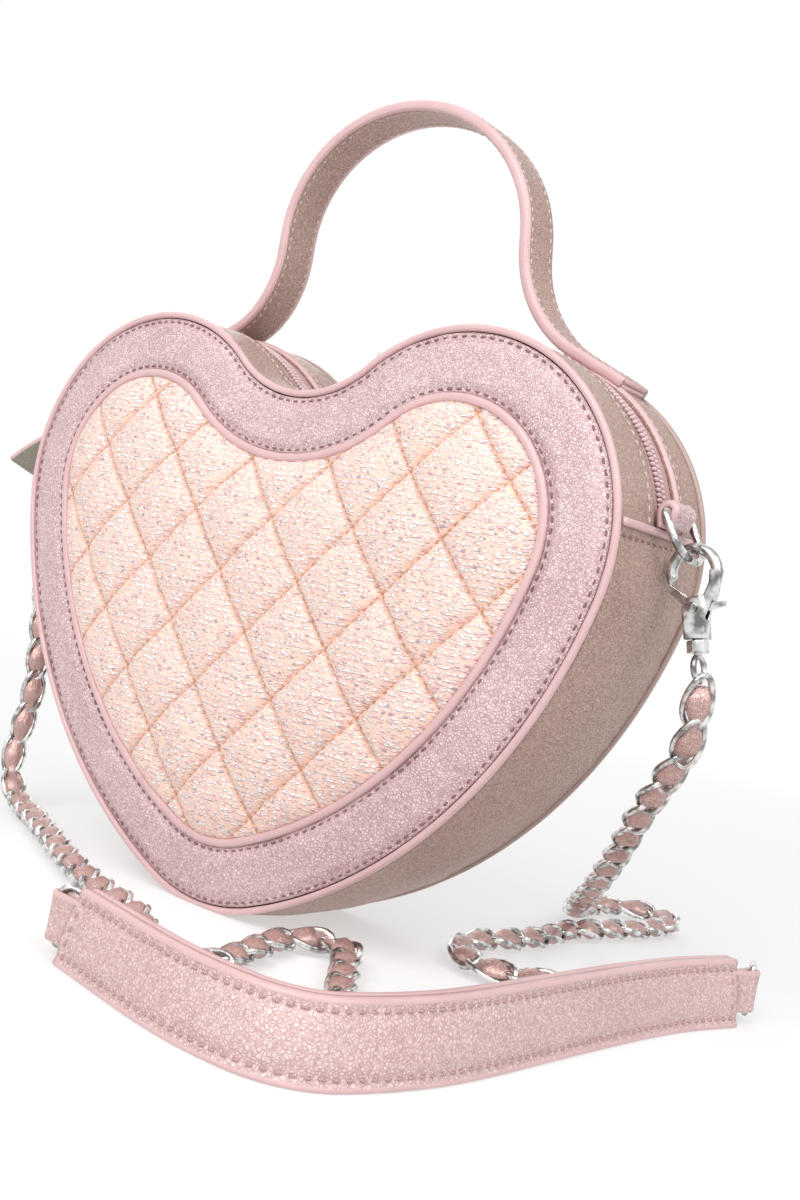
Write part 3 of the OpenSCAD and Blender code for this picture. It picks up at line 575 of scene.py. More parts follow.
def thread_bit(length, width):
    """One stitch: a short bit of thread whose two ends dive into the leather."""
    rows = []
    for i in range(7):
        share = i / 3 - 1
        radius = width / 2 * math.sqrt(max(1 - abs(share) ** 3, 0.02))
        rows.append([Vector((share * length / 2, radius * c, radius * s - width * 0.8 * share**4))
                     for c, s in around(6)])
    return skin("stitch", rows, [])


def thread(name, colour):
    """Twisted thread, seen as fine slanting strands."""
    finish = Finish(name, {"Roughness": 0.62})
    strands = finish.node("ShaderNodeTexWave", {"bands_direction": "DIAGONAL"},
                          {"Vector": finish.place(), "Scale": 900.0, "Distortion": 1.5})
    finish.feed("Base Color", finish.blend(strands, [c * 0.6 for c in colour], colour))
    finish.emboss(strands, 0.00006)
    return finish.material


rose_leather = leather("rose_leather", (0.95, 0.75, 0.75), (0.43, 0.265, 0.28), 0.00090, 0.00018, 0.15, 0.42)
mauve_thread = thread("mauve_thread", (0.34, 0.18, 0.20))
STITCH_PITCH = 0.0031
STITCH = thread_bit(0.0022, 0.00072)
STITCH_PROUD = 0.0001
BORDER_OUT = -EDGE_W - GAP
BORDER_IN = -0.0194
BORDER_RISE = 0.002
BORDER_PUFF = 0.0011
BORDER_SEAMS = (-0.0034, -0.0183)
BORDER_GROOVE = 0.0015
BORDER_ROUNDS = (0.0014, 0.0012)
BORDER_COLUMNS = 22
RIM_BACK = 0.0004
front_y = -BAG_D / 2
border_y = front_y + LEATHER / 3
heart_stations = whole_heart()


def stitched(name, lines, colour, slot="rose_leather", pitch=STITCH_PITCH, loop=False):
    """Rows of stitches that stay with the bag."""
    return fit_to(set_along(name, lines, STITCH, pitch, colour, wobble=0.1, loop=loop), "root", slot)


def border_face(offset):
    """How far forward the border's face stands at that offset."""
    share = (BORDER_OUT - offset) / (BORDER_OUT - BORDER_IN)
    groove = 1 - hump(min(abs(offset - s) for s in BORDER_SEAMS), BORDER_GROOVE)
    rim = ease((BORDER_OUT - offset) / BORDER_ROUNDS[0]) * ease((offset - BORDER_IN) / BORDER_ROUNDS[1])
    puff = BORDER_PUFF * groove * (0.35 + 0.65 * rim)
    return border_y - BORDER_RISE * share - puff + RIM_BACK * (1 - rim / 2)


rows = []
for station in heart_stations:
    row = []
    for j in range(BORDER_COLUMNS + 1):
        offset = BORDER_OUT + (BORDER_IN - BORDER_OUT) * j / BORDER_COLUMNS
        spot = off(station, offset)
        crease = crumple(spot, 0.00025, 0.006) + crumple(spot, 0.0003, 0.021)
        row.append(off(station, offset, border_face(offset) + crease))
    row.append(off(station, BORDER_IN, border_y + LEATHER - BORDER_RISE))
    row.append(off(station, BORDER_OUT, border_y + LEATHER))
    rows.append(row)
fit_to(skin("border_leather", rows, [rose_leather], loop=True), "root", "rose_leather", "front_border")
lines = [[(off(s, d, border_face(d) - STITCH_PROUD), Vector((0, -1, 0))) for s in heart_stations]
         for d in BORDER_SEAMS]
stitched("border_stitches", lines, mauve_thread, loop=True)


# Painted edges finish the bag: a rolled one round the front and one round the back, and a
# folded one between the border and the tweed. The paint is smooth, and brown at the back.
def tinted(name, colour, deepest, drift, grain, depth, fixed, stretch=(1.0, 1.0, 1.0)):
    """A plain finish whose colour drifts to that share of itself; drift and grain are (size, detail)."""
    finish = Finish(name, fixed)
    spot = finish.place(stretch)
    finish.feed("Base Color", finish.blend(finish.cloud(spot, *drift), [c * deepest for c in colour], colour))
    finish.emboss(finish.cloud(spot, *grain), depth)
    return finish.material


paint_gloss = {"Roughness": 0.38, "Coat Weight": 0.25, "Coat Roughness": 0.3}
pink_edge, back_edge = [tinted(name, colour, 0.82, (0.009, 3.0), (0.0011, 3.0), 0.00008, paint_gloss)
                        for name, colour in (("pink_edge", (0.74, 0.49, 0.495)),
                                             ("back_edge", (0.46, 0.33, 0.29)))]
ROLL_DEPTH = 0.0021
ROLL_HALF = 0.0010
ROLL_IN = 0.00095
FOLD_IN = 0.0012
FOLD_HALF = (0.00125, 0.0011)
trim_y = border_y - BORDER_RISE


def edge_roll(name, centre, half_width, half_depth, paint, node):
    rows = []
    for station in heart_stations:
        lump = 1 + crumple(off(station, 0, centre[1]), 0.04, 0.008)
        rows.append([off(station, d, y) for d, y in
                     rounded(half_width * lump, half_depth * lump, centre=centre)])
    fit_to(skin(name, rows, [paint], loop=True), "root", "pink_edge", node)


edge_roll("front_rolled_edge", (-ROLL_IN, front_y + ROLL_DEPTH / 2), ROLL_HALF, ROLL_DEPTH / 2, pink_edge,
          "front_edge_trim")
edge_roll("back_rolled_edge", (-ROLL_IN, -front_y - ROLL_DEPTH / 2), ROLL_HALF, ROLL_DEPTH / 2, back_edge,
          "back_edge_trim")
edge_roll("folded_edge_round_tweed", (BORDER_IN - FOLD_IN, trim_y + 0.0001), *FOLD_HALF, pink_edge,
          "front_border_trim")

# The quilted heart is tweed over wadding. Two families of sewn lines cross it, and the tweed
# swells between them; near each line it is drawn into small puckers.
QUILT_EDGE = BORDER_IN - EDGE_W - GAP
QUILT_RISE = 0.004
QUILT_PUFF = 0.0027
QUILT_PUCKER = 0.00045
QUILT_LUMP = 0.0004
QUILT_SINK = 0.0009
QUILT_ORIGIN = flat(0.00425, 0.11638)
QUILT_DOWN = flat(0.01499, -0.01682)
QUILT_UP = flat(0.01611, 0.01765)
TWEED_STEP = 0.0009
TWEED_T = 0.0015
quilt_across = QUILT_DOWN.x * QUILT_UP.y - QUILT_DOWN.y * QUILT_UP.x
quilt_apart = (quilt_across / QUILT_UP.length, quilt_across / QUILT_DOWN.length)


def finder_of(points):
    """A tree that finds the nearest of the points."""
    finder = kdtree.KDTree(len(points))
    for i, p in enumerate(points):
        finder.insert(p, i)
    finder.balance()
    return finder


quilt_rim = [off(s, QUILT_EDGE) for s in whole_heart(0.0007)]
rim_finder = finder_of(quilt_rim)


def dome(x, z):
    """How far the tweed rises from its rim, over the whole heart."""
    distance = rim_finder.find(Vector((x, 0, z)))[2]
    share = min(distance / (LOBE_R + QUILT_EDGE - 0.005), 1.0)
    return QUILT_RISE * (1 - (1 - share) ** 2)


def quilt_face(x, z):
    """How far forward the tweed stands."""
    at = flat(x, z) - QUILT_ORIGIN
    down = (at.x * QUILT_UP.y - at.y * QUILT_UP.x) / quilt_across
    up = (QUILT_DOWN.x * at.y - QUILT_DOWN.y * at.x) / quilt_across
    nearest = min(abs(v - round(v)) * apart for v, apart in zip((down, up), quilt_apart))
    swell = math.sqrt(math.prod(math.sin(math.pi * (v - math.floor(v))) for v in (down, up)))
    pucker = crumple(Vector((x, 7.0, z)), QUILT_PUCKER, 0.0042) * math.exp(-nearest / 0.0030)
    lump = crumple(Vector((x, 3.0, z)), QUILT_LUMP, 0.012) * swell
    rim = 1 - math.exp(-rim_finder.find(Vector((x, 0, z)))[2] / 0.0022)
    puff = (QUILT_PUFF * swell + pucker + lump) * rim
    return trim_y - dome(x, z) - puff + QUILT_SINK * hump(nearest, 0.0009) * rim


def heart_sheet(offset, step):
    """A triangulated heart in X and Z: its rim, and a grid of points inside it."""
    rim = [off(s, offset) for s in whole_heart(step)]
    points = [flat(p.x, p.z) for p in rim]
    edges = [(i, (i + 1) % len(rim)) for i in range(len(rim))]
    finder = finder_of(rim)
    z = min(p.z for p in rim)
    odd = 0
    while z < max(p.z for p in rim):
        x = -BAG_W / 2 + odd * step / 2
        while x < BAG_W / 2:
            if finder.find(Vector((x, 0, z)))[2] > step * 0.6:
                points.append(flat(x, z))
            x += step
        z += step * 0.87
        odd = 1 - odd
    made = delaunay_2d_cdt(points, edges, [], 1, 1e-7)
    return made[0], made[2]


def slab(name, sheet, front, back, finish):
    """A closed slab over a flat sheet, between a front face and a back face given as heights."""
    spots, triangles = sheet
    n = len(spots)
    uses = {}
    for t in triangles:
        for a, b in zip(t, (*t[1:], t[0])):
            uses[frozenset((a, b))] = None if frozenset((a, b)) in uses else (a, b)
    walls = [(a, b, b + n, a + n) for a, b in filter(None, uses.values())]
    points = [Vector((p.x, face(p.x, p.y), p.y)) for face in (front, back) for p in spots]
    backs = [tuple(i + n for i in reversed(t)) for t in triangles]
    return piece(name, points, [*triangles, *backs, *walls], [finish])


ROW_PITCH = 0.0017
SLUB_SIZE = 0.00085


def tweed():
    """Peach tweed: near level rows of slubs in silver, pink and grey, and darker along the quilting."""
    finish = Finish("tweed", {"Specular IOR Level": 0.4})
    flat_spot = finish.place((1.0, 0.0, 1.0))
    spot = finish.waver(flat_spot, 0.006, 0.0013)
    level = finish.node("ShaderNodeSeparateXYZ", {}, {"Vector": spot}, "Z") * (2 * math.pi / ROW_PITCH)
    row = 0.5 + 0.5 * finish.node("ShaderNodeMath", {"operation": "SINE"}, {0: level})
    slub_spot = finish.vector("MULTIPLY", spot, (0.62, 1.0, 1.0))
    slub = finish.between(finish.cells(slub_spot, SLUB_SIZE), 0.62, 0.36)
    kind = finish.cells(slub_spot, SLUB_SIZE, "Color")
    crowd = finish.between(finish.cloud(spot, 0.0045), 0.32, 0.62)
    strand = finish.cloud(finish.place((1.0, 1.0, 2.5)), 0.0004, 3.0)
    ground = finish.blend(finish.cloud(spot, 0.003), (0.95, 0.62, 0.51), (0.97, 0.71, 0.60))
    yarns = finish.node("ShaderNodeValToRGB", {"steps": [
        (0.00, (0.52, 0.40, 0.46)), (0.14, (0.97, 0.94, 0.94)), (0.40, (0.86, 0.54, 0.57)),
        (0.58, (0.97, 0.94, 0.94)), (0.80, (0.94, 0.62, 0.60))]}, {"Fac": kind})
    proud = slub * finish.between(row + 0.5 * crowd, 0.30, 0.75)
    # Dark mauve specks in the low gaps between the rows: partly the tweed's own grey flecks, partly painted shade
    # between the rows.
    fleck_and_row_shade = finish.between(row, 0.35, 0.08) * finish.between(finish.cloud(slub_spot, 0.0005), 0.49, 0.58)
    colour = finish.blend(0.55 * fleck_and_row_shade, finish.blend(proud, ground, yarns), (0.42, 0.29, 0.35))
    colour = finish.blend(0.3 * strand, colour, (1.0, 0.97, 0.95), "SOFT_LIGHT")
    x, z = [finish.node("ShaderNodeSeparateXYZ", {}, {"Vector": flat_spot}, axis) for axis in ("X", "Z")]
    for along, apart in zip((QUILT_UP, QUILT_DOWN), quilt_apart):
        place = ((x - QUILT_ORIGIN.x) * along.y - (z - QUILT_ORIGIN.y) * along.x) * (1 / quilt_across)
        beside = finish.node("ShaderNodeMath", {"operation": "FRACT"}, {0: place + 0.5}) - 0.5
        beside = finish.node("ShaderNodeMath", {"operation": "ABSOLUTE"}, {0: beside}) * apart
        colour = finish.blend(0.50 * finish.between(beside, 0.0010, 0.0002), colour, (0.80, 0.42, 0.27))
    finish.feed("Base Color", colour)
    glint = finish.between(finish.cloud(spot, 0.0005), 0.58, 0.68)
    finish.feed("Metallic", 0.5 * glint * proud)
    finish.feed("Roughness", 0.82 - 0.45 * glint)
    finish.emboss(0.9 * proud + 0.3 * strand, 0.00045)
    return finish.material


quilt = slab("quilted_tweed", heart_sheet(QUILT_EDGE, TWEED_STEP), quilt_face,
             lambda x, z: trim_y + TWEED_T - dome(x, z), tweed())
fit_to(quilt, "root", "tweed", "front_quilted_panel")

QUILT_LINES = range(-9, 10)
QUILT_STITCH_PITCH = 0.0024
QUILT_STITCH = thread_bit(0.0018, 0.00066)
QUILT_WANDER = 0.00035
RIM_MARGIN = 0.0012
FEWEST_POINTS = 12
peach_thread = thread("peach_thread", (0.76, 0.38, 0.24))


def on_tweed(at):
    """Whether a spot is inside the quilted heart, clear of its rim."""
    nearest = rim_finder.find(Vector((at.x, 0, at.y)))
    rim = quilt_rim[nearest[1]]
    beyond = quilt_rim[(nearest[1] + 1) % len(quilt_rim)]
    inside = (beyond.x - rim.x) * (at.y - rim.z) - (beyond.z - rim.z) * (at.x - rim.x)
    return inside > 0 and nearest[2] > RIM_MARGIN


lines = []
for along, other in ((QUILT_DOWN, QUILT_UP), (QUILT_UP, QUILT_DOWN)):
    aside = flat(along.y, -along.x).normalized()
    for k in QUILT_LINES:
        lines.append([])
        for i in range(-900, 901):
            at = QUILT_ORIGIN + other * k + along * (i / 100)
            at = at + aside * crumple(Vector((at.x, 0, at.y)), QUILT_WANDER, 0.02)
            if on_tweed(at):
                point = Vector((at.x, quilt_face(at.x, at.y) - 0.00012, at.y))
                lines[-1].append((point, Vector((0, -1, 0))))
            elif lines[-1]:
                lines.append([])
lines = [line for line in lines if len(line) > FEWEST_POINTS]
fit_to(set_along("quilting_stitches", lines, QUILT_STITCH, QUILT_STITCH_PITCH, peach_thread, wobble=0.12),
       "root", "tweed")

# Behind the tweed lies a heart of matted fibre wadding, which nobody sees. The sewn lines hold
# it to the tweed, and it rests on the front's stiffening board.
wadding_fibre = tinted("wadding", (0.88, 0.87, 0.84), 0.85, (0.0012, 5.0), (0.0012, 5.0), 0.0005,
                       {"Roughness": 0.95})
BOARD_T = 0.0012
WADDING_STEP = 0.003
board_y = front_y + LEATHER + GAP + BOARD_T / 2
wadding = slab("wadding_heart", heart_sheet(QUILT_EDGE, WADDING_STEP),
               lambda x, z: trim_y + TWEED_T + GAP / 3 - dome(x, z), lambda x, z: board_y - GAP / 3, wadding_fibre)
fit_to(wadding, "root", "wadding", "front_wadding")

# The back is one piece of the same leather over a board, a little crowned, and sewn all round.
# The boards are grey card; they are hidden, and stiffen the front and the back.
BACK_STEP = 0.0016
BACK_CROWN = 0.0016
BACK_SEAM = 0.0032
BACK_GROOVE = (0.0005, 0.0012)
back_y = BAG_D / 2
back_finder = finder_of([off(s, BORDER_OUT) for s in heart_stations])


def back_face(x, z):
    distance = back_finder.find(Vector((x, 0, z)))[2]
    crown = BACK_CROWN * (1 - math.exp(-distance / 0.012))
    groove = BACK_GROOVE[0] * hump(distance - BACK_SEAM, BACK_GROOVE[1])
    return back_y - GAP / 3 - GAP + crown - groove + 0.0003 * noise.noise(Vector((x, 5.0, z)) / 0.02)


back = slab("back_leather", heart_sheet(BORDER_OUT, BACK_STEP), back_face,
            lambda x, z: back_y - LEATHER - GAP / 3, rose_leather)
fit_to(back, "root", "rose_leather", "back_panel")
line = []
for station in heart_stations:
    spot = off(station, BORDER_OUT - BACK_SEAM)
    line.append((Vector((spot.x, back_face(spot.x, spot.z) + STITCH_PROUD, spot.z)), Vector((0, 1, 0))))
stitched("back_stitches", [line], mauve_thread, loop=True)
board_card = tinted("board", (0.48, 0.38, 0.29), 0.8, (0.0015, 4.0), (0.0015, 4.0), 0.0001, {"Roughness": 0.9},
                    (1.0, 1.0, 4.0))
for node in ("front_board", "back_board"):
    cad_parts[node].data.materials.clear()
    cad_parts[node].data.materials.append(board_card)

# The gusset is leather too. Over the lobes it is two strips with the zip between them, each
# folded under along the zip and sewn; below, one strip runs round the sides and the tip. It
# bows out a little and is gathered along the front seam.
ZIP_Y = 0.001
ZIP_GAP = 0.014
GUSSET_OUT = -0.0006
GUSSET_COLUMNS = 20
GATHER = 0.0007
GATHER_SIZE = 0.0030
GATHER_REACH = 0.0050
FOLD = 0.0013
FOLD_RIDGE = (0.0007, 0.0008)
FOLD_ROUND = (0.0006, 0.0005)
STRIP_SEAM = 0.0026
STRIP_PITCH = 0.0030
strip_front = front_y + EDGE_W + 2 * GAP
strip_back = back_y - EDGE_W - 2 * GAP
slot_front = ZIP_Y - ZIP_GAP / 2
slot_back = ZIP_Y + ZIP_GAP / 2
# Painted shade: the gusset and the handle take a darker, browner copy of the rose leather, for faces turned away
# from the lamps.
shaded_rose_leather = leather("shaded_rose_leather", (0.65, 0.475, 0.405), (0.27, 0.16, 0.13), 0.00075, 0.00012, 0.15,
                         0.40)
pearl_thread = thread("pearl_thread", (0.76, 0.60, 0.57))


def edge_lift(spot, folded, inward, fullness):
    """How far the leather stands out beside an edge: a folded edge is ridged, a sewn one gathered."""
    if folded:
        ridge = FOLD_RIDGE[0] * hump(inward - FOLD * 0.55, FOLD_RIDGE[1])
        return ridge - FOLD_ROUND[0] * (1 - ease(inward / FOLD_ROUND[1]))
    fold = crumple(Vector((spot.x, 0.0, spot.z)), GATHER, GATHER_SIZE)
    return fullness * fold * math.exp(-inward / GATHER_REACH)


def gusset_strip(name, node, stations, y0, y1, bow, folds, painted):
    """A leather strip across the gusset; folds are 1 for a folded edge, and its edge at y0 can be painted."""
    rows = []
    for k, station in enumerate(stations):
        ends = ease(min(k, len(stations) - 1 - k) / 12)
        row = []
        for j in range(GUSSET_COLUMNS + 1):
            share = j / GUSSET_COLUMNS
            y = y0 + (y1 - y0) * share
            spot = off(station, 0, y)
            lift = bow * math.sin(math.pi * share) * ends + crumple(spot, 0.0003, 0.016)
            lift += edge_lift(spot, folds[0], y - y0, 1.0)
            lift += edge_lift(spot + Vector((0.3, 0, 0)), folds[1], y1 - y, 0.3)
            row.append(off(station, GUSSET_OUT + lift, y))
        row += [off(station, GUSSET_OUT - LEATHER, y1), off(station, GUSSET_OUT - LEATHER, y0)]
        rows.append(row)
    edge = max(1, round(FOLD / (y1 - y0) * GUSSET_COLUMNS)) if painted else 0
    columns = [1] * edge + [0] * (GUSSET_COLUMNS + 3 - edge)
    fit_to(skin(name, rows, [shaded_rose_leather, pink_edge], columns=columns), "root", "rose_leather", node)


upper_stations = lobe_and_notch(seam_angle, 0.0008)
lower_stations = tip_and_sides(seam_angle - 0.4, 0.0010)
for name, node, stations, y0, y1, bow, folds, painted in (
        ("zip_strip_front", "zip_gusset_front", upper_stations, strip_front, slot_front, 0.0003, (0, 1), False),
        ("zip_strip_back", "zip_gusset_back", upper_stations, slot_back, strip_back, 0.0003, (1, 0), True),
        ("lower_strip", "lower_gusset", lower_stations, strip_front, strip_back, 0.0020, (0, 0), False)):
    gusset_strip(name, node, stations, y0, y1, bow, folds, painted)
lines = [[(off(s, GUSSET_OUT + 3 * STITCH_PROUD, y), outwards(s)) for s in upper_stations[3:-3]]
         for y in (slot_front - STRIP_SEAM, slot_back + STRIP_SEAM)]
stitched("zip_strip_stitches", lines, pearl_thread, pitch=STRIP_PITCH)

# The lower gusset ends at each side in a folded and painted edge, which laps over the zip
# strips' ends and is sewn down just below.
SEAM_TRIM_H = 0.0022
SEAM_TRIM_T = 0.001
SEAM_TRIM_OUT = 0.0004
SEAM_STITCH_DROP = 3.6
SEAM_STITCH_IN = 0.002
for side, name in ((1, "right"), (-1, "left")):
    way = bearing(seam_angle)
    middle = lobe_centre + way * (LOBE_R + GUSSET_OUT + SEAM_TRIM_OUT)
    rows = []
    for k in range(31):
        y = strip_front + (strip_back - strip_front) * k / 30
        row = [middle + way * d + flat(-way.y, way.x) * z for d, z in rounded(SEAM_TRIM_T, SEAM_TRIM_H / 2)]
        rows.append([Vector((side * spot.x, y, spot.y)) for spot in row])
    fit_to(skin(f"seam_edge_{name}", rows, [pink_edge]), "root", "pink_edge", f"seam_trim_{name}")
    way = bearing(seam_angle - SEAM_STITCH_DROP)
    spot = lobe_centre + way * (LOBE_R + GUSSET_OUT + 3 * STITCH_PROUD)
    line = []
    for k in range(41):
        y = strip_front + SEAM_STITCH_IN + (strip_back - strip_front - 2 * SEAM_STITCH_IN) * k / 40
        line.append((Vector((side * spot.x, y, spot.y)), Vector((side * way.x, 0, way.y))))
    stitched(f"seam_stitches_{name}", [line], mauve_thread)


# The zip is two woven tapes, each with a row of rose teeth. The slider straddles the teeth in
# the notch, and its pull hangs on a pin.
def tape_cloth(name, colour):
    """Woven tape, with fine ribs across it."""
    finish = Finish(name, {"Roughness": 0.8})
    spot = finish.place()
    rib = finish.node("ShaderNodeTexWave", {"bands_direction": "Y"},
                      {"Vector": spot, "Scale": 420.0, "Distortion": 0.6})
    weave = rib * 0.6 + finish.cloud(spot, 0.0005) * 0.5
    finish.feed("Base Color", finish.blend(weave, [c * 0.62 for c in colour], colour))
    finish.emboss(weave, 0.00012)
    return finish.material


TAPE_OUT = -0.0019
TAPE_T = 0.0006
TAPE_LAP = 0.003
TOOTH = (0.0011, 0.0021, 0.0012)
TOOTH_PITCH = 0.00145
SLIDER_BEVEL = 0.0003
zip_tape = tape_cloth("zip_tape", (0.66, 0.43, 0.44))
zip_tooth = tinted("zip_teeth", (0.82, 0.60, 0.61), 0.75, (0.003, 2.0), (0.003, 2.0), 0.00004,
                   {"Roughness": 0.34, "Coat Weight": 0.2})
zip_stations = lobe_and_notch(seam_angle + 2)


def bead(name, size):
    """A small block with every corner rounded off."""
    rows = []
    for i in range(5):
        share = i / 2 - 1
        shrink = (1 - abs(share) ** 3) ** (1 / 3) if abs(share) < 1 else 0.35
        rows.append([Vector((size[0] / 2 * share, size[1] / 2 * shrink * c, size[2] / 2 * shrink * s))
                     for c, s in rounded(1.0, 1.0, 4.0, 8)])
    return skin(name, rows, [])


tooth = bead("tooth", TOOTH)
for name, y0, y1, y_teeth, skipped in (
        ("front", slot_front - TAPE_LAP, ZIP_Y - GAP / 6, ZIP_Y - GAP / 3 - TOOTH[1] / 2, 0),
        ("back", ZIP_Y + GAP / 6, slot_back + TAPE_LAP, ZIP_Y + GAP / 3 + TOOTH[1] / 2, 1)):
    rows = [[off(s, TAPE_OUT, y0), off(s, TAPE_OUT, (y0 + y1) / 2), off(s, TAPE_OUT, y1),
             off(s, TAPE_OUT - TAPE_T, y1), off(s, TAPE_OUT - TAPE_T, y0)] for s in zip_stations]
    tape = skin(f"zip_tape_cloth_{name}", rows, [zip_tape])
    tape.data.set_sharp_from_angle(angle=math.radians(40))
    fit_to(tape, "root", "zip_tape", f"zip_tape_{name}")
    line = [(off(s, TAPE_OUT + TOOTH[2] / 2, y_teeth), outwards(s)) for s in zip_stations[skipped:]]
    teeth = set_along(f"zip_teeth_row_{name}", [line], tooth, TOOTH_PITCH, zip_tooth)
    fit_to(teeth, "root", "zip_teeth", f"zip_teeth_{name}")
bpy.data.objects.remove(tooth)


def copied(name, node):
    """A copy of a node's mesh, with its loose triangles joined."""
    shell = bmesh.new()
    shell.from_mesh(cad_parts[node].data)
    bmesh.ops.remove_doubles(shell, verts=shell.verts, dist=1e-6)
    bmesh.ops.dissolve_limit(shell, angle_limit=math.radians(1), verts=shell.verts, edges=shell.edges)
    mesh = bpy.data.meshes.new(name)
    shell.to_mesh(mesh)
    shell.free()
    return placed(name, mesh)


def applied(made, finish):
    """The object with its modifiers made plain mesh, in one finish."""
    made_plain(made).data.materials.clear()
    made.data.materials.append(finish)
    return made


def stamped(name, node, finish, bevel):
    """A node's own shape with its edges broken, as on a stamped or turned piece."""
    made = copied(name, node)
    edge = made.modifiers.new("edge", "BEVEL")
    edge.width = bevel
    edge.segments = 2
    edge.angle_limit = math.radians(32)
    applied(made, finish).data.set_sharp_from_angle(angle=math.radians(50))
    return made


def cast(name, node, finish, voxel, rounds):
    """A node's own shape with its corners worn round, as on a cast and tumbled piece."""
    made = copied(name, node)
    shell = made.modifiers.new("shell", "REMESH")
    shell.mode = "VOXEL"
    shell.voxel_size = voxel
    worn = made.modifiers.new("worn", "SMOOTH")
    worn.factor = 0.5
    worn.iterations = rounds
    return applied(made, finish)


for name in ("slider", "pull"):
    fit_to(stamped(name, f"zip_{name}", silver, SLIDER_BEVEL), name, "silver_metal", f"zip_{name}")

# The tail of the zip sticks out at the left, bound in a folded leather strap coloured a dark taupe, as painted
# shade. It has painted edges and is sewn along both.
TAIL_W = 0.0115
TAIL_T = 0.0020
TAIL_L = 0.021
TAIL_DROP = 0.0105
TAIL_AT = Vector((0.0, -0.0135, 0.1315))
TAIL_ROLL = math.radians(30)
TAIL_SEAM = 0.0022
TAIL_STEP = 0.0012
TAIL_SAG = ((0, 0), (0.18, 0.11), (0.35, 0.25), (0.53, 0.43), (0.7, 0.62), (0.85, 0.80), (1, 1))
# The tail's dark taupe is painted shade on its leather.
shaded_taupe_leather = leather("shaded_taupe_leather", (0.44, 0.40, 0.33), (0.24, 0.21, 0.17), 0.0007, 0.0001, 0.15, 0.45)


def ribbon(name, line, ups, width, thickness, crown, finishes, bead_w=0.0009, bead_rise=0.00018):
    """A leather strap along a line, crowned on its outer side, with a painted bead along each edge."""
    half = width / 2
    shares = [-1.0, -0.97] + [k / 8 * 0.93 for k in range(-8, 9)] + [0.97, 1.0]
    outer = []
    inner = []
    for s in shares:
        inward = half * (1 - abs(s))
        edge = thickness / 2 * (0.55 + 0.45 * ease(inward / (bead_w * 0.6)))
        outer.append((half * s, edge + crown * (1 - s * s) + bead_rise * hump(inward - bead_w / 2, bead_w)))
        inner.append((half * s, -edge))
    section = [*outer, *reversed(inner)]
    rows = [[p + t.cross(up).normalized() * d + up * h for d, h in section]
            for p, t, up in zip(line, headings(line), ups)]
    painted = [int(half * (1 - abs(s)) < bead_w * 1.1) for s in shares]
    return skin(name, rows, finishes, columns=[*painted, *reversed(painted)])


tail_x = lobe_centre.x + math.sqrt((LOBE_R + GUSSET_OUT) ** 2 - (TAIL_AT.z - LOBE_Z) ** 2)
tail_start = TAIL_AT - Vector((tail_x + SEAM_TRIM_T + 4 * GAP, 0, 0))
tail_line = even_line([tail_start - Vector((s * TAIL_L, 0, d * TAIL_DROP)) for s, d in TAIL_SAG], TAIL_STEP)
tail_flank = Vector((0, math.cos(TAIL_ROLL), -math.sin(TAIL_ROLL)))
tail_ups = [tail_flank.cross(t).normalized() for t in headings(tail_line)]
tail_ups = [up * math.copysign(1, up.z) for up in tail_ups]
tail = ribbon("zip_tail_leather", tail_line, tail_ups, TAIL_W, TAIL_T, 0.0003, [shaded_taupe_leather, pink_edge])
fit_to(tail, "root", "tail_leather", "zip_tail_tab")
lines = [[(p + tail_flank * d + up * (TAIL_T / 2 + STITCH_PROUD), up)
          for p, up in zip(tail_line[2:-2], tail_ups[2:-2])]
         for d in (TAIL_SEAM - TAIL_W / 2, TAIL_W / 2 - TAIL_SEAM)]
stitched("zip_tail_stitches", lines, mauve_thread, "tail_leather")

# The handle: a strap of two leathers. Its feet flare, turn flat on the back of the lobes and
# are sewn there; the arch folds about the feet and leans a little to the left and forwards.
HANDLE_W = 0.015
HANDLE_Y = 0.0155
HANDLE_SPAN = 0.0485
HANDLE_ARCH = 0.0425
HANDLE_Z = 0.211
HANDLE_LEAN = Vector((-0.0040, -0.0035, 0.0))
HANDLE_STEP = 0.0018
HANDLE_SEAM = 0.0023
HANDLE_CROWN = 0.00035
HANDLE_BEAD = 0.0006
HANDLE_BEAD_IN = 0.0005
FOOT_R = 0.035
TAB_END = 60
FOLD_Z = 0.18419
foot_centre = flat(HANDLE_SPAN + FOOT_R, HANDLE_Z)
tab_r = LOBE_R + GUSSET_OUT + GAP + LEATHER
tab_start = angle_of(foot_centre - lobe_centre)
half = [lobe_centre + bearing(TAB_END + (tab_start - TAB_END) * i / 8) * tab_r for i in range(8)]
half += [foot_centre - bearing(tab_start * (1 - k / 24)) * FOOT_R for k in range(25)]
half += [flat(HANDLE_SPAN * bearing(a).x, HANDLE_Z + HANDLE_ARCH * bearing(a).y) for a in range(3, 91, 3)]
arch = [Vector((p.x, HANDLE_Y, p.y)) for p in half] + [Vector((-p.x, HANDLE_Y, p.y)) for p in half[-2::-1]]


def leaning(p):
    """Where the handle's lean puts a point of the upright arch."""
    return p + HANDLE_LEAN * max(0.0, (p.z - FOLD_Z) / (HANDLE_Z + HANDLE_ARCH - FOLD_Z))


def softened(line, rounds):
    """The line with its corners eased and its ends kept."""
    for i in range(rounds):
        eased = [(a + 2 * b + c) / 4 for a, b, c in zip(line, line[1:], line[2:])]
        line = [line[0], *eased, line[-1]]
    return line


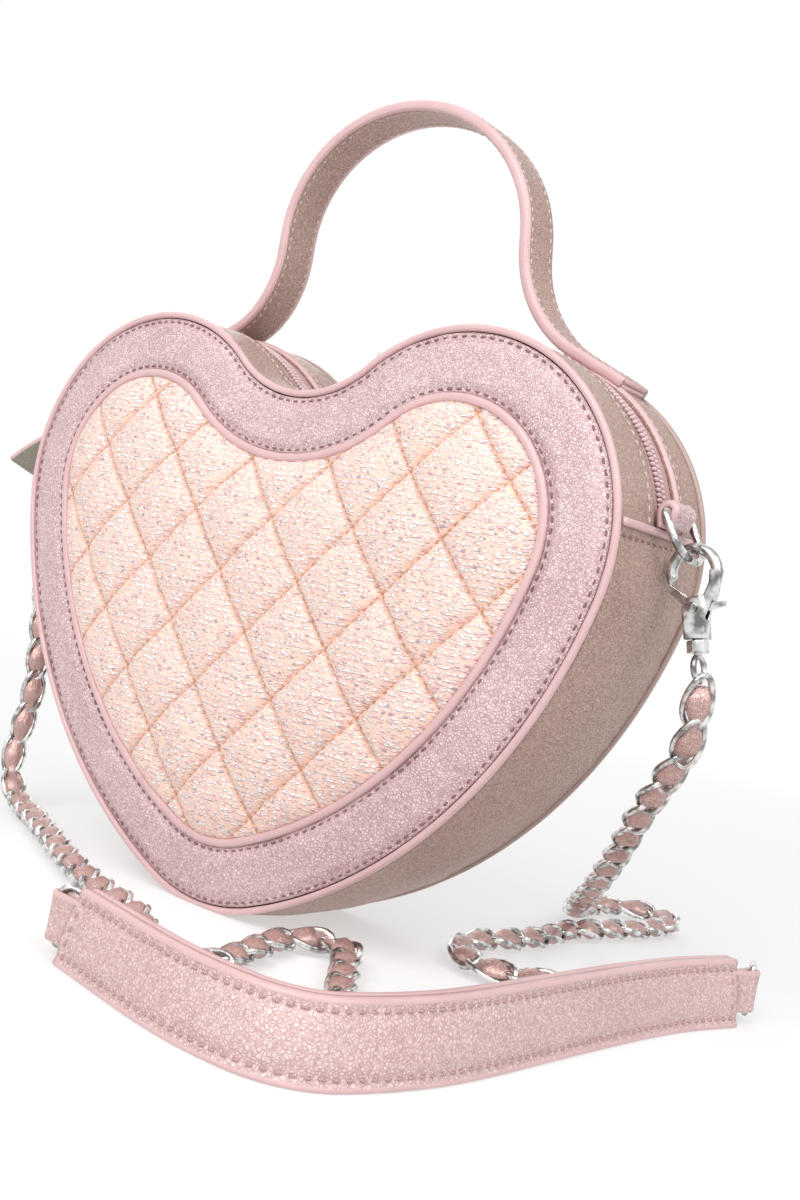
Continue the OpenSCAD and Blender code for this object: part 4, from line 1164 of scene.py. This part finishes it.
handle_line = softened([leaning(p) for p in even_line(arch, HANDLE_STEP)], 4)
handle_ups = [Vector((t.z, 0, -t.x)) for t in headings(handle_line)]
handle_pieces = []
# Both leathers of the handle take the darker, browner copy of the rose leather: painted shade.
for name, way, nodes in (("outer", 1, ("handle_outer_leather", "handle_foot_left", "handle_foot_right")),
                         ("lining", -1, ("handle_lining_leather",))):
    line = [p + up * way * (LEATHER / 2 + GAP / 6) for p, up in zip(handle_line, handle_ups)]
    strap = ribbon(f"handle_{name}", line, [up * way for up in handle_ups], HANDLE_W - HANDLE_BEAD, LEATHER,
                   HANDLE_CROWN, [shaded_rose_leather, pink_edge])
    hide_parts(*nodes)
    handle_pieces.append(strap)
for name, way in (("front", -1), ("back", 1)):
    offset = Vector((0, way * (HANDLE_W / 2 - HANDLE_BEAD_IN), 0))
    rows = [[p + offset + Vector((0, d, 0)) + up * z for d, z in rounded(HANDLE_BEAD, LEATHER, 3.0, 12)]
            for p, up in zip(handle_line, handle_ups)]
    edge = skin(f"handle_edge_{name}", rows, [pink_edge])
    handle_pieces.append(edge)
seam_out = LEATHER + GAP / 6 + 0.00018
lines = [[(p + Vector((0, d, 0)) + up * way * seam_out, up * way) for p, up in zip(handle_line, handle_ups)][2:-2]
         for way in (1, -1) for d in (HANDLE_SEAM - HANDLE_W / 2, HANDLE_W / 2 - HANDLE_SEAM)]
stitches = set_along("handle_stitches", lines, STITCH, STITCH_PITCH, pearl_thread, wobble=0.1)
for strap in (*handle_pieces, stitches):
    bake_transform(strap)

# A D-ring hangs at each end of the zip, its bar in a folded leather loop with thick painted
# edges. The rings are bent from thick polished wire.
RING_WIRE = 0.0022
RING_W = 0.013
RING_LEG = 0.006
RING_TILT = math.radians(32)
RING_CORNER = 0.0016
WIRE_SLACK = 0.0001
BAR_ANGLE = 13.6
TAB_W = 0.0115
LOOP_T = 0.002
LOOP_LAYER = 0.0018
LOOP_SEAM = 0.0024
LOOP_BEAD = (0.0011, 0.0002)
LOOP_STEP = 0.0006
WIRE_STEP = 0.0007
loop_base = LOBE_R + GUSSET_OUT + GAP
bar = lobe_centre + bearing(BAR_ANGLE) * (loop_base + RING_WIRE / 2 + WIRE_SLACK / 2 + LOOP_T)
wrap_r = RING_WIRE / 2 + WIRE_SLACK + LOOP_LAYER / 2
loop_foot = seam_angle + math.degrees((SEAM_TRIM_H + GAP) / 2 / LOBE_R)


def d_ring(name, middle, bar_way, hang_way, width, wire, leg):
    """A D-ring of round wire: a straight bar, two legs and a half round bow."""
    r = (width + wire) / 2
    corner = RING_CORNER
    section = [flat(r * bearing(a).x, leg + r * bearing(a).y) for a in range(0, 181, 6)]
    for x, start in ((corner - r, 180), (r - corner, 270)):
        section += [flat(x, corner) + bearing(start + k * 15) * corner for k in range(7)]
    line = [middle + bar_way * p.x + hang_way * p.y for p in section]
    line = even_line([*line, line[0]], WIRE_STEP)[:-1]
    out = bar_way.cross(hang_way)
    rows = [[p + wire / 2 * (out * c + t.cross(out) * s) for c, s in around(14)]
            for p, t in zip(line, headings(line, loop=True))]
    return skin(name, rows, [silver], loop=True)


for side, name in ((1, "right"), (-1, "left")):
    hang = Vector((side * math.sin(RING_TILT), 0, -math.cos(RING_TILT)))
    ring = d_ring(f"bag_ring_{name}", Vector((side * bar.x, ZIP_Y, bar.y)), Vector((0, 1, 0)), hang,
                  RING_W, RING_WIRE, RING_LEG)
    fit_to(ring, f"ring_{name}", "silver_metal", f"d_ring_{name}")
    spots = [lobe_centre + bearing(loop_foot + k) * (loop_base + LOOP_LAYER / 2) for k in range(4)]
    spots += [bar + bearing(BAR_ANGLE + 180 - k * 15) * wrap_r for k in range(13)]
    spots += [lobe_centre + bearing(loop_foot + k) * (loop_base + LOOP_LAYER * layers)
              for k, layers in ((1.5, 1.9), (0, 1.6))]
    line = softened(even_line([Vector((side * p.x, ZIP_Y, p.y)) for p in spots], LOOP_STEP), 2)
    ups = [Vector((-t.z, 0, t.x)) * side for t in headings(line)]
    loop = ribbon(f"ring_loop_{name}", line, ups, TAB_W, LOOP_LAYER, 0.0003, [rose_leather, pink_edge],
                  *LOOP_BEAD)
    fit_to(loop, "root", "rose_leather", f"d_ring_tab_{name}")
    outer = list(zip(line, ups))[len(line) // 2 - 3:-1]
    lines = [[(p + Vector((0, d, 0)) + up * (LOOP_LAYER / 2 + 2 * STITCH_PROUD), up) for p, up in outer]
             for d in (LOOP_SEAM - TAB_W / 2, TAB_W / 2 - LOOP_SEAM)]
    stitched(f"ring_loop_stitches_{name}", lines, pearl_thread, pitch=STRIP_PITCH)

# The lobster hooks are cast, tumbled and plated: a body with a round bow, a gate that turns on
# a rivet against a leaf spring, and a swivel with the eye for the chain.
cast_silver = polished_metal("cast_silver", (0.76, 0.76, 0.75), 0.26, 0.0036, 0.11)
for side in ("left", "right"):
    for part, node, body, made_by, sizes in (
            ("body", "hook_body", f"hook_{side}", cast, (0.00022, 5)),
            ("gate", "hook_gate", f"gate_{side}", cast, (0.00016, 3)),
            ("rivet", "gate_rivet", f"hook_{side}", stamped, (0.00012,)),
            ("spring", "gate_spring", f"hook_{side}", stamped, (0.00006,)),
            ("swivel", "hook_swivel", "root", cast, (0.00018, 3))):
        made = made_by(f"hook_{side}_{part}", f"{node}_{side}", cast_silver, *sizes)
        fit_to(made, body, "silver_metal", f"{node}_{side}")

# The shoulder pad stands on its long edge: two leathers with painted edges over foam, sewn
# together all round. A folded tab at each end holds a small D-ring.
PAD_H = 0.0185
PAD_T = 0.004
PAD_LEAN = 0.004
PAD_SKIN = 0.0012
PAD_OVERLAP = 0.0006
PAD_SEAMS = (0.0027, 0.0158)
PAD_GROOVE = 0.0014
PAD_CROWN = 0.0007
PAD_STEP = 0.0014
PAD_EDGE = (0.0, 0.0003, 0.0008)
PAD_EDGE_H = 0.0012
PAD_TUCK = (0.0005, 0.0006)
PAD_BEAD = (0.0002, 0.0006)
END_SEAM = 2
pad_route = [
    (0.034, -0.105, 0), (0.044, -0.107, 0), (0.056, -0.1095, 0), (0.069, -0.112, 0), (0.082, -0.1135, 0),
    (0.094, -0.1135, 0), (0.104, -0.112, 0), (0.112, -0.108, 0), (0.1175, -0.102, 0), (0.121, -0.094, 0),
    (0.124, -0.084, 0), (0.1265, -0.071, 0), (0.1278, -0.054, 0), (0.1283, -0.036, 0), (0.129, -0.012, 0),
    (0.1303, 0.014, 0), (0.1325, 0.035, 0), (0.137, 0.056, 0)]
pad_line = smooth_line(pad_route, PAD_STEP)
pad_ways = headings(pad_line)
pad_sides = [Vector((-way.y, way.x, 0)) for way in pad_ways]
pad_leather = leather("pad_leather", (0.93, 0.71, 0.69), (0.47, 0.30, 0.29), 0.00090, 0.00015, 0.15, 0.42)
rose_thread = thread("rose_thread", (0.62, 0.40, 0.40))


def pad_point(i, q, h):
    """A point of the pad: q through its thickness from the outer face, h up."""
    return pad_line[i] + pad_sides[i] * (q + PAD_LEAN * h / PAD_H) + Vector((0, 0, h))


def pad_face(h, i):
    """How far a leather's face stands out of its flat at height h."""
    groove = 1 - hump(min(abs(h - s) for s in PAD_SEAMS), PAD_GROOVE)
    middle = math.sin(math.pi * min(max(h / PAD_H, 0.0), 1.0))
    dent = crumple(Vector((pad_line[i].x, pad_line[i].y, h)), 0.00035, 0.011)
    return (PAD_CROWN * middle + 0.0002) * groove + dent * middle


def pad_layer(name, outer_q, way, node):
    """One leather of the pad, its face at outer_q and facing way."""
    inner_q = outer_q - way * (PAD_SKIN + PAD_OVERLAP)
    heights = [PAD_EDGE_H + (PAD_H - 2 * PAD_EDGE_H) * k / 16 for k in range(17)]
    heights = [*PAD_EDGE, *heights, *[PAD_H - h for h in reversed(PAD_EDGE)]]
    rows = []
    for i in range(len(pad_line)):
        row = []
        for h in heights:
            near = min(h, PAD_H - h)
            tuck = (1 - math.sqrt(min(near / PAD_TUCK[1], 1.0))) * PAD_TUCK[0]
            bulge = pad_face(h, i) - tuck + PAD_BEAD[0] * hump(near - PAD_EDGE[2], PAD_BEAD[1])
            row.append(pad_point(i, outer_q + way * bulge, h))
        row += [pad_point(i, inner_q, PAD_H - 0.0001), pad_point(i, inner_q, 0.0001)]
        rows.append(row)
    columns = [1 if k < 3 or k >= len(heights) - 4 else 0 for k in range(len(heights) + 2)]
    return fit_to(skin(name, rows, [pad_leather, pink_edge], columns=columns), "root", "rose_leather", node)


pad_front = pad_layer("pad_front", 0.0, -1, "pad_front_leather")
pad_back = pad_layer("pad_back", PAD_T, 1, "pad_back_leather")
foam_section = rounded(PAD_T / 2 - PAD_SKIN - 0.0001, PAD_H / 2 - PAD_SKIN, 5.0, 16, (PAD_T / 2, PAD_H / 2))
rows = [[pad_point(i, q, h) for q, h in foam_section] for i in range(1, len(pad_line) - 1)]
foam = skin("pad_foam_core", rows, [wadding_fibre])
fit_to(foam, "root", "wadding", "pad_foam")
lines = []
for face_q, way in ((0.0, -1), (PAD_T, 1)):
    for h in PAD_SEAMS:
        lines.append([(pad_point(i, face_q + way * 3 * STITCH_PROUD, h), pad_sides[i] * way)
                      for i in range(END_SEAM, len(pad_line) - END_SEAM)])
    for i in (END_SEAM, len(pad_line) - 1 - END_SEAM):
        heights = [PAD_SEAMS[0] + (PAD_SEAMS[1] - PAD_SEAMS[0]) * k / 12 for k in range(13)]
        lines.append([(pad_point(i, face_q + way * (pad_face(h, i) + STITCH_PROUD), h), pad_sides[i] * way)
                      for h in heights])
stitched("pad_stitches", lines, rose_thread)

PAD_TAB_L = 0.009
PAD_TAB_H = 0.012
PAD_TAB_LAYER = 0.0011
PAD_TAB_BEAD = (0.0010, 0.0002)
PAD_TAB_ROUTE = [(-0.002, 0.0006), (0.0015, 0.00065), (0.004, 0.0008), (0.0065, 0.0012)]
PAD_RING_WIRE = 0.0018
PAD_RING_LEG = 0.002
PAD_RING_TURNS = {"left": math.radians(-140), "right": math.radians(35)}
tab_wrap_r = PAD_RING_WIRE / 2 + WIRE_SLACK + PAD_TAB_LAYER / 2
tab_section = [(x, -y) for x, y in PAD_TAB_ROUTE]
tab_section += [(PAD_TAB_L + tab_wrap_r * bearing(a).x, tab_wrap_r * bearing(a).y) for a in range(-90, 91, 20)]
tab_section += reversed(PAD_TAB_ROUTE)
for name, at, outward in (("left", 0, -1), ("right", len(pad_line) - 1, 1)):
    way = pad_ways[at] * outward
    middle = pad_line[at] + pad_sides[at] * (PAD_T + PAD_LEAN) / 2 + Vector((0, 0, PAD_H / 2))
    flank = Vector((0, 0, 1)).cross(way)
    line = even_line([middle + way * x + flank * y for x, y in tab_section], WIRE_STEP)
    ups = [t.cross(Vector((0, 0, 1))).normalized() for t in headings(line)]
    tab = ribbon(f"pad_tab_leather_{name}", line, ups, PAD_TAB_H, PAD_TAB_LAYER, 0.0, [pad_leather, pink_edge],
                 *PAD_TAB_BEAD)
    fit_to(tab, "root", "rose_leather", f"pad_tab_{name}")
    turn = Matrix.Rotation(PAD_RING_TURNS[name], 3, "Z")
    ring = d_ring(f"pad_end_ring_{name}", middle + way * PAD_TAB_L, Vector((0, 0, 1)), turn @ way,
                  PAD_TAB_H + GAP, PAD_RING_WIRE, PAD_RING_LEG)
    fit_to(ring, "root", "silver_metal", f"pad_ring_{name}")
    strip, wires, line, length = chains[name]

# The lining is a bag of thin satin in the shape of the heart. It hangs from the zip's tapes and
# is open under the zip.
LINING_OUT = TAPE_OUT - TAPE_T - GAP
LINING_T = 0.0006
LINING_STEP = 0.003
LINING_COLUMNS = 12
lining_front = board_y + BOARD_T + GAP
lining_back = back_y - LEATHER - 2 * GAP - BOARD_T - GAP
lining_satin = tinted("lining", (0.62, 0.40, 0.38), 0.8, (0.004, 3.0), (0.0007, 2.0), 0.00008,
                      {"Roughness": 0.42}, (1.0, 1.0, 6.0))
stations = whole_heart(LINING_STEP)
depths = [lining_front + (lining_back - lining_front) * k / LINING_COLUMNS for k in range(LINING_COLUMNS + 1)]
points = [off(s, LINING_OUT, y) for s in stations for y in depths]
n = len(depths)
faces = []
for i, station in enumerate(stations):
    over_lobes = off(station, 0).z > LOBE_Z + SEAM_RISE
    for j in range(LINING_COLUMNS):
        if not (over_lobes and slot_front < (depths[j] + depths[j + 1]) / 2 < slot_back):
            a = i * n + j
            b = (i + 1) % len(stations) * n + j
            faces.append((a, a + 1, b + 1, b))
faces.append(tuple(i * n for i in range(len(stations))))
faces.append(tuple(i * n + LINING_COLUMNS for i in reversed(range(len(stations)))))
lining = piece("lining_bag", points, faces, [lining_satin])
cloth = lining.modifiers.new("cloth", "SOLIDIFY")
cloth.thickness = LINING_T
cloth.offset = -1
fit_to(applied(lining, lining_satin), "root", "lining", "lining")
for shape in (STITCH, QUILT_STITCH):
    bpy.data.objects.remove(shape)

# A white table and backdrop, and soft light from above, the left and the right. The camera and
# the polished metal see a white background.
FLOOR_R = 3.0
FLOOR_DROP = 0.0002
FLOOR_FADE = (0.30, 0.95)
FLOOR_GLOW = 0.5
BACKDROP_STRENGTH = 0.42
BAG_MIDDLE = (0.0, 0.0, 0.11)


def backdrop_white():
    world = bpy.data.worlds.new("studio")
    bpy.context.scene.world = world
    world.use_nodes = True
    tree = world.node_tree
    plain = tree.nodes["Background"]
    plain.inputs["Color"].default_value = (1.0, 0.99, 0.985, 1.0)
    plain.inputs["Strength"].default_value = BACKDROP_STRENGTH
    white = add_node(tree, "ShaderNodeBackground", {}, {"Color": (1.0, 1.0, 1.0, 1.0), "Strength": 1.0})
    rays = add_node(tree, "ShaderNodeLightPath", {}, {})
    seen = rays["Is Camera Ray"]
    for ray in ("Is Glossy Ray", "Is Transmission Ray"):
        seen = add_node(tree, "ShaderNodeMath", {"operation": "MAXIMUM"}, {0: seen, 1: rays[ray]})[0]
    mixed = add_node(tree, "ShaderNodeMixShader", {}, {0: seen, 1: plain.outputs[0], 2: white[0]})
    tree.links.new(mixed[0], tree.nodes["World Output"].inputs["Surface"])


def floor_white():
    finish = Finish("table", {"Roughness": 0.9, "Base Color": (0.93, 0.93, 0.93, 1.0)})
    spot = finish.node("ShaderNodeTexCoord", {}, {}, "Object")
    reach = finish.node("ShaderNodeVectorMath", {"operation": "LENGTH"}, {0: spot}, "Value")
    far = FLOOR_GLOW + (1 - FLOOR_GLOW) * finish.between(reach, *FLOOR_FADE)
    white = finish.node("ShaderNodeEmission", {}, {"Strength": 1.0})
    mixed = finish.node("ShaderNodeMixShader", {}, {0: far, 1: finish.shader.outputs[0], 2: white})
    finish.tree.links.new(mixed.socket, finish.tree.nodes["Material Output"].inputs["Surface"])
    return finish.material


def softbox(name, at, size, watts):
    lamp = bpy.data.lights.new(name, "AREA")
    lamp.size = size
    lamp.energy = watts
    holder = placed(name, lamp)
    holder.location = at
    holder.rotation_euler = (Vector(BAG_MIDDLE) - Vector(at)).to_track_quat("-Z", "Y").to_euler()


backdrop_white()
rim = [Vector((FLOOR_R * bearing(a).x, FLOOR_R * bearing(a).y, -FLOOR_DROP)) for a in range(0, 360, 5)]
floor = piece("floor", rim, [tuple(range(len(rim)))], [floor_white()])
softbox("key", (0.15, -1.00, 0.95), 0.9, 12.0)
softbox("side", (1.0, -0.30, 1.00), 0.8, 7.5)
softbox("far", (-0.9, 0.60, 0.80), 0.8, 3.0)
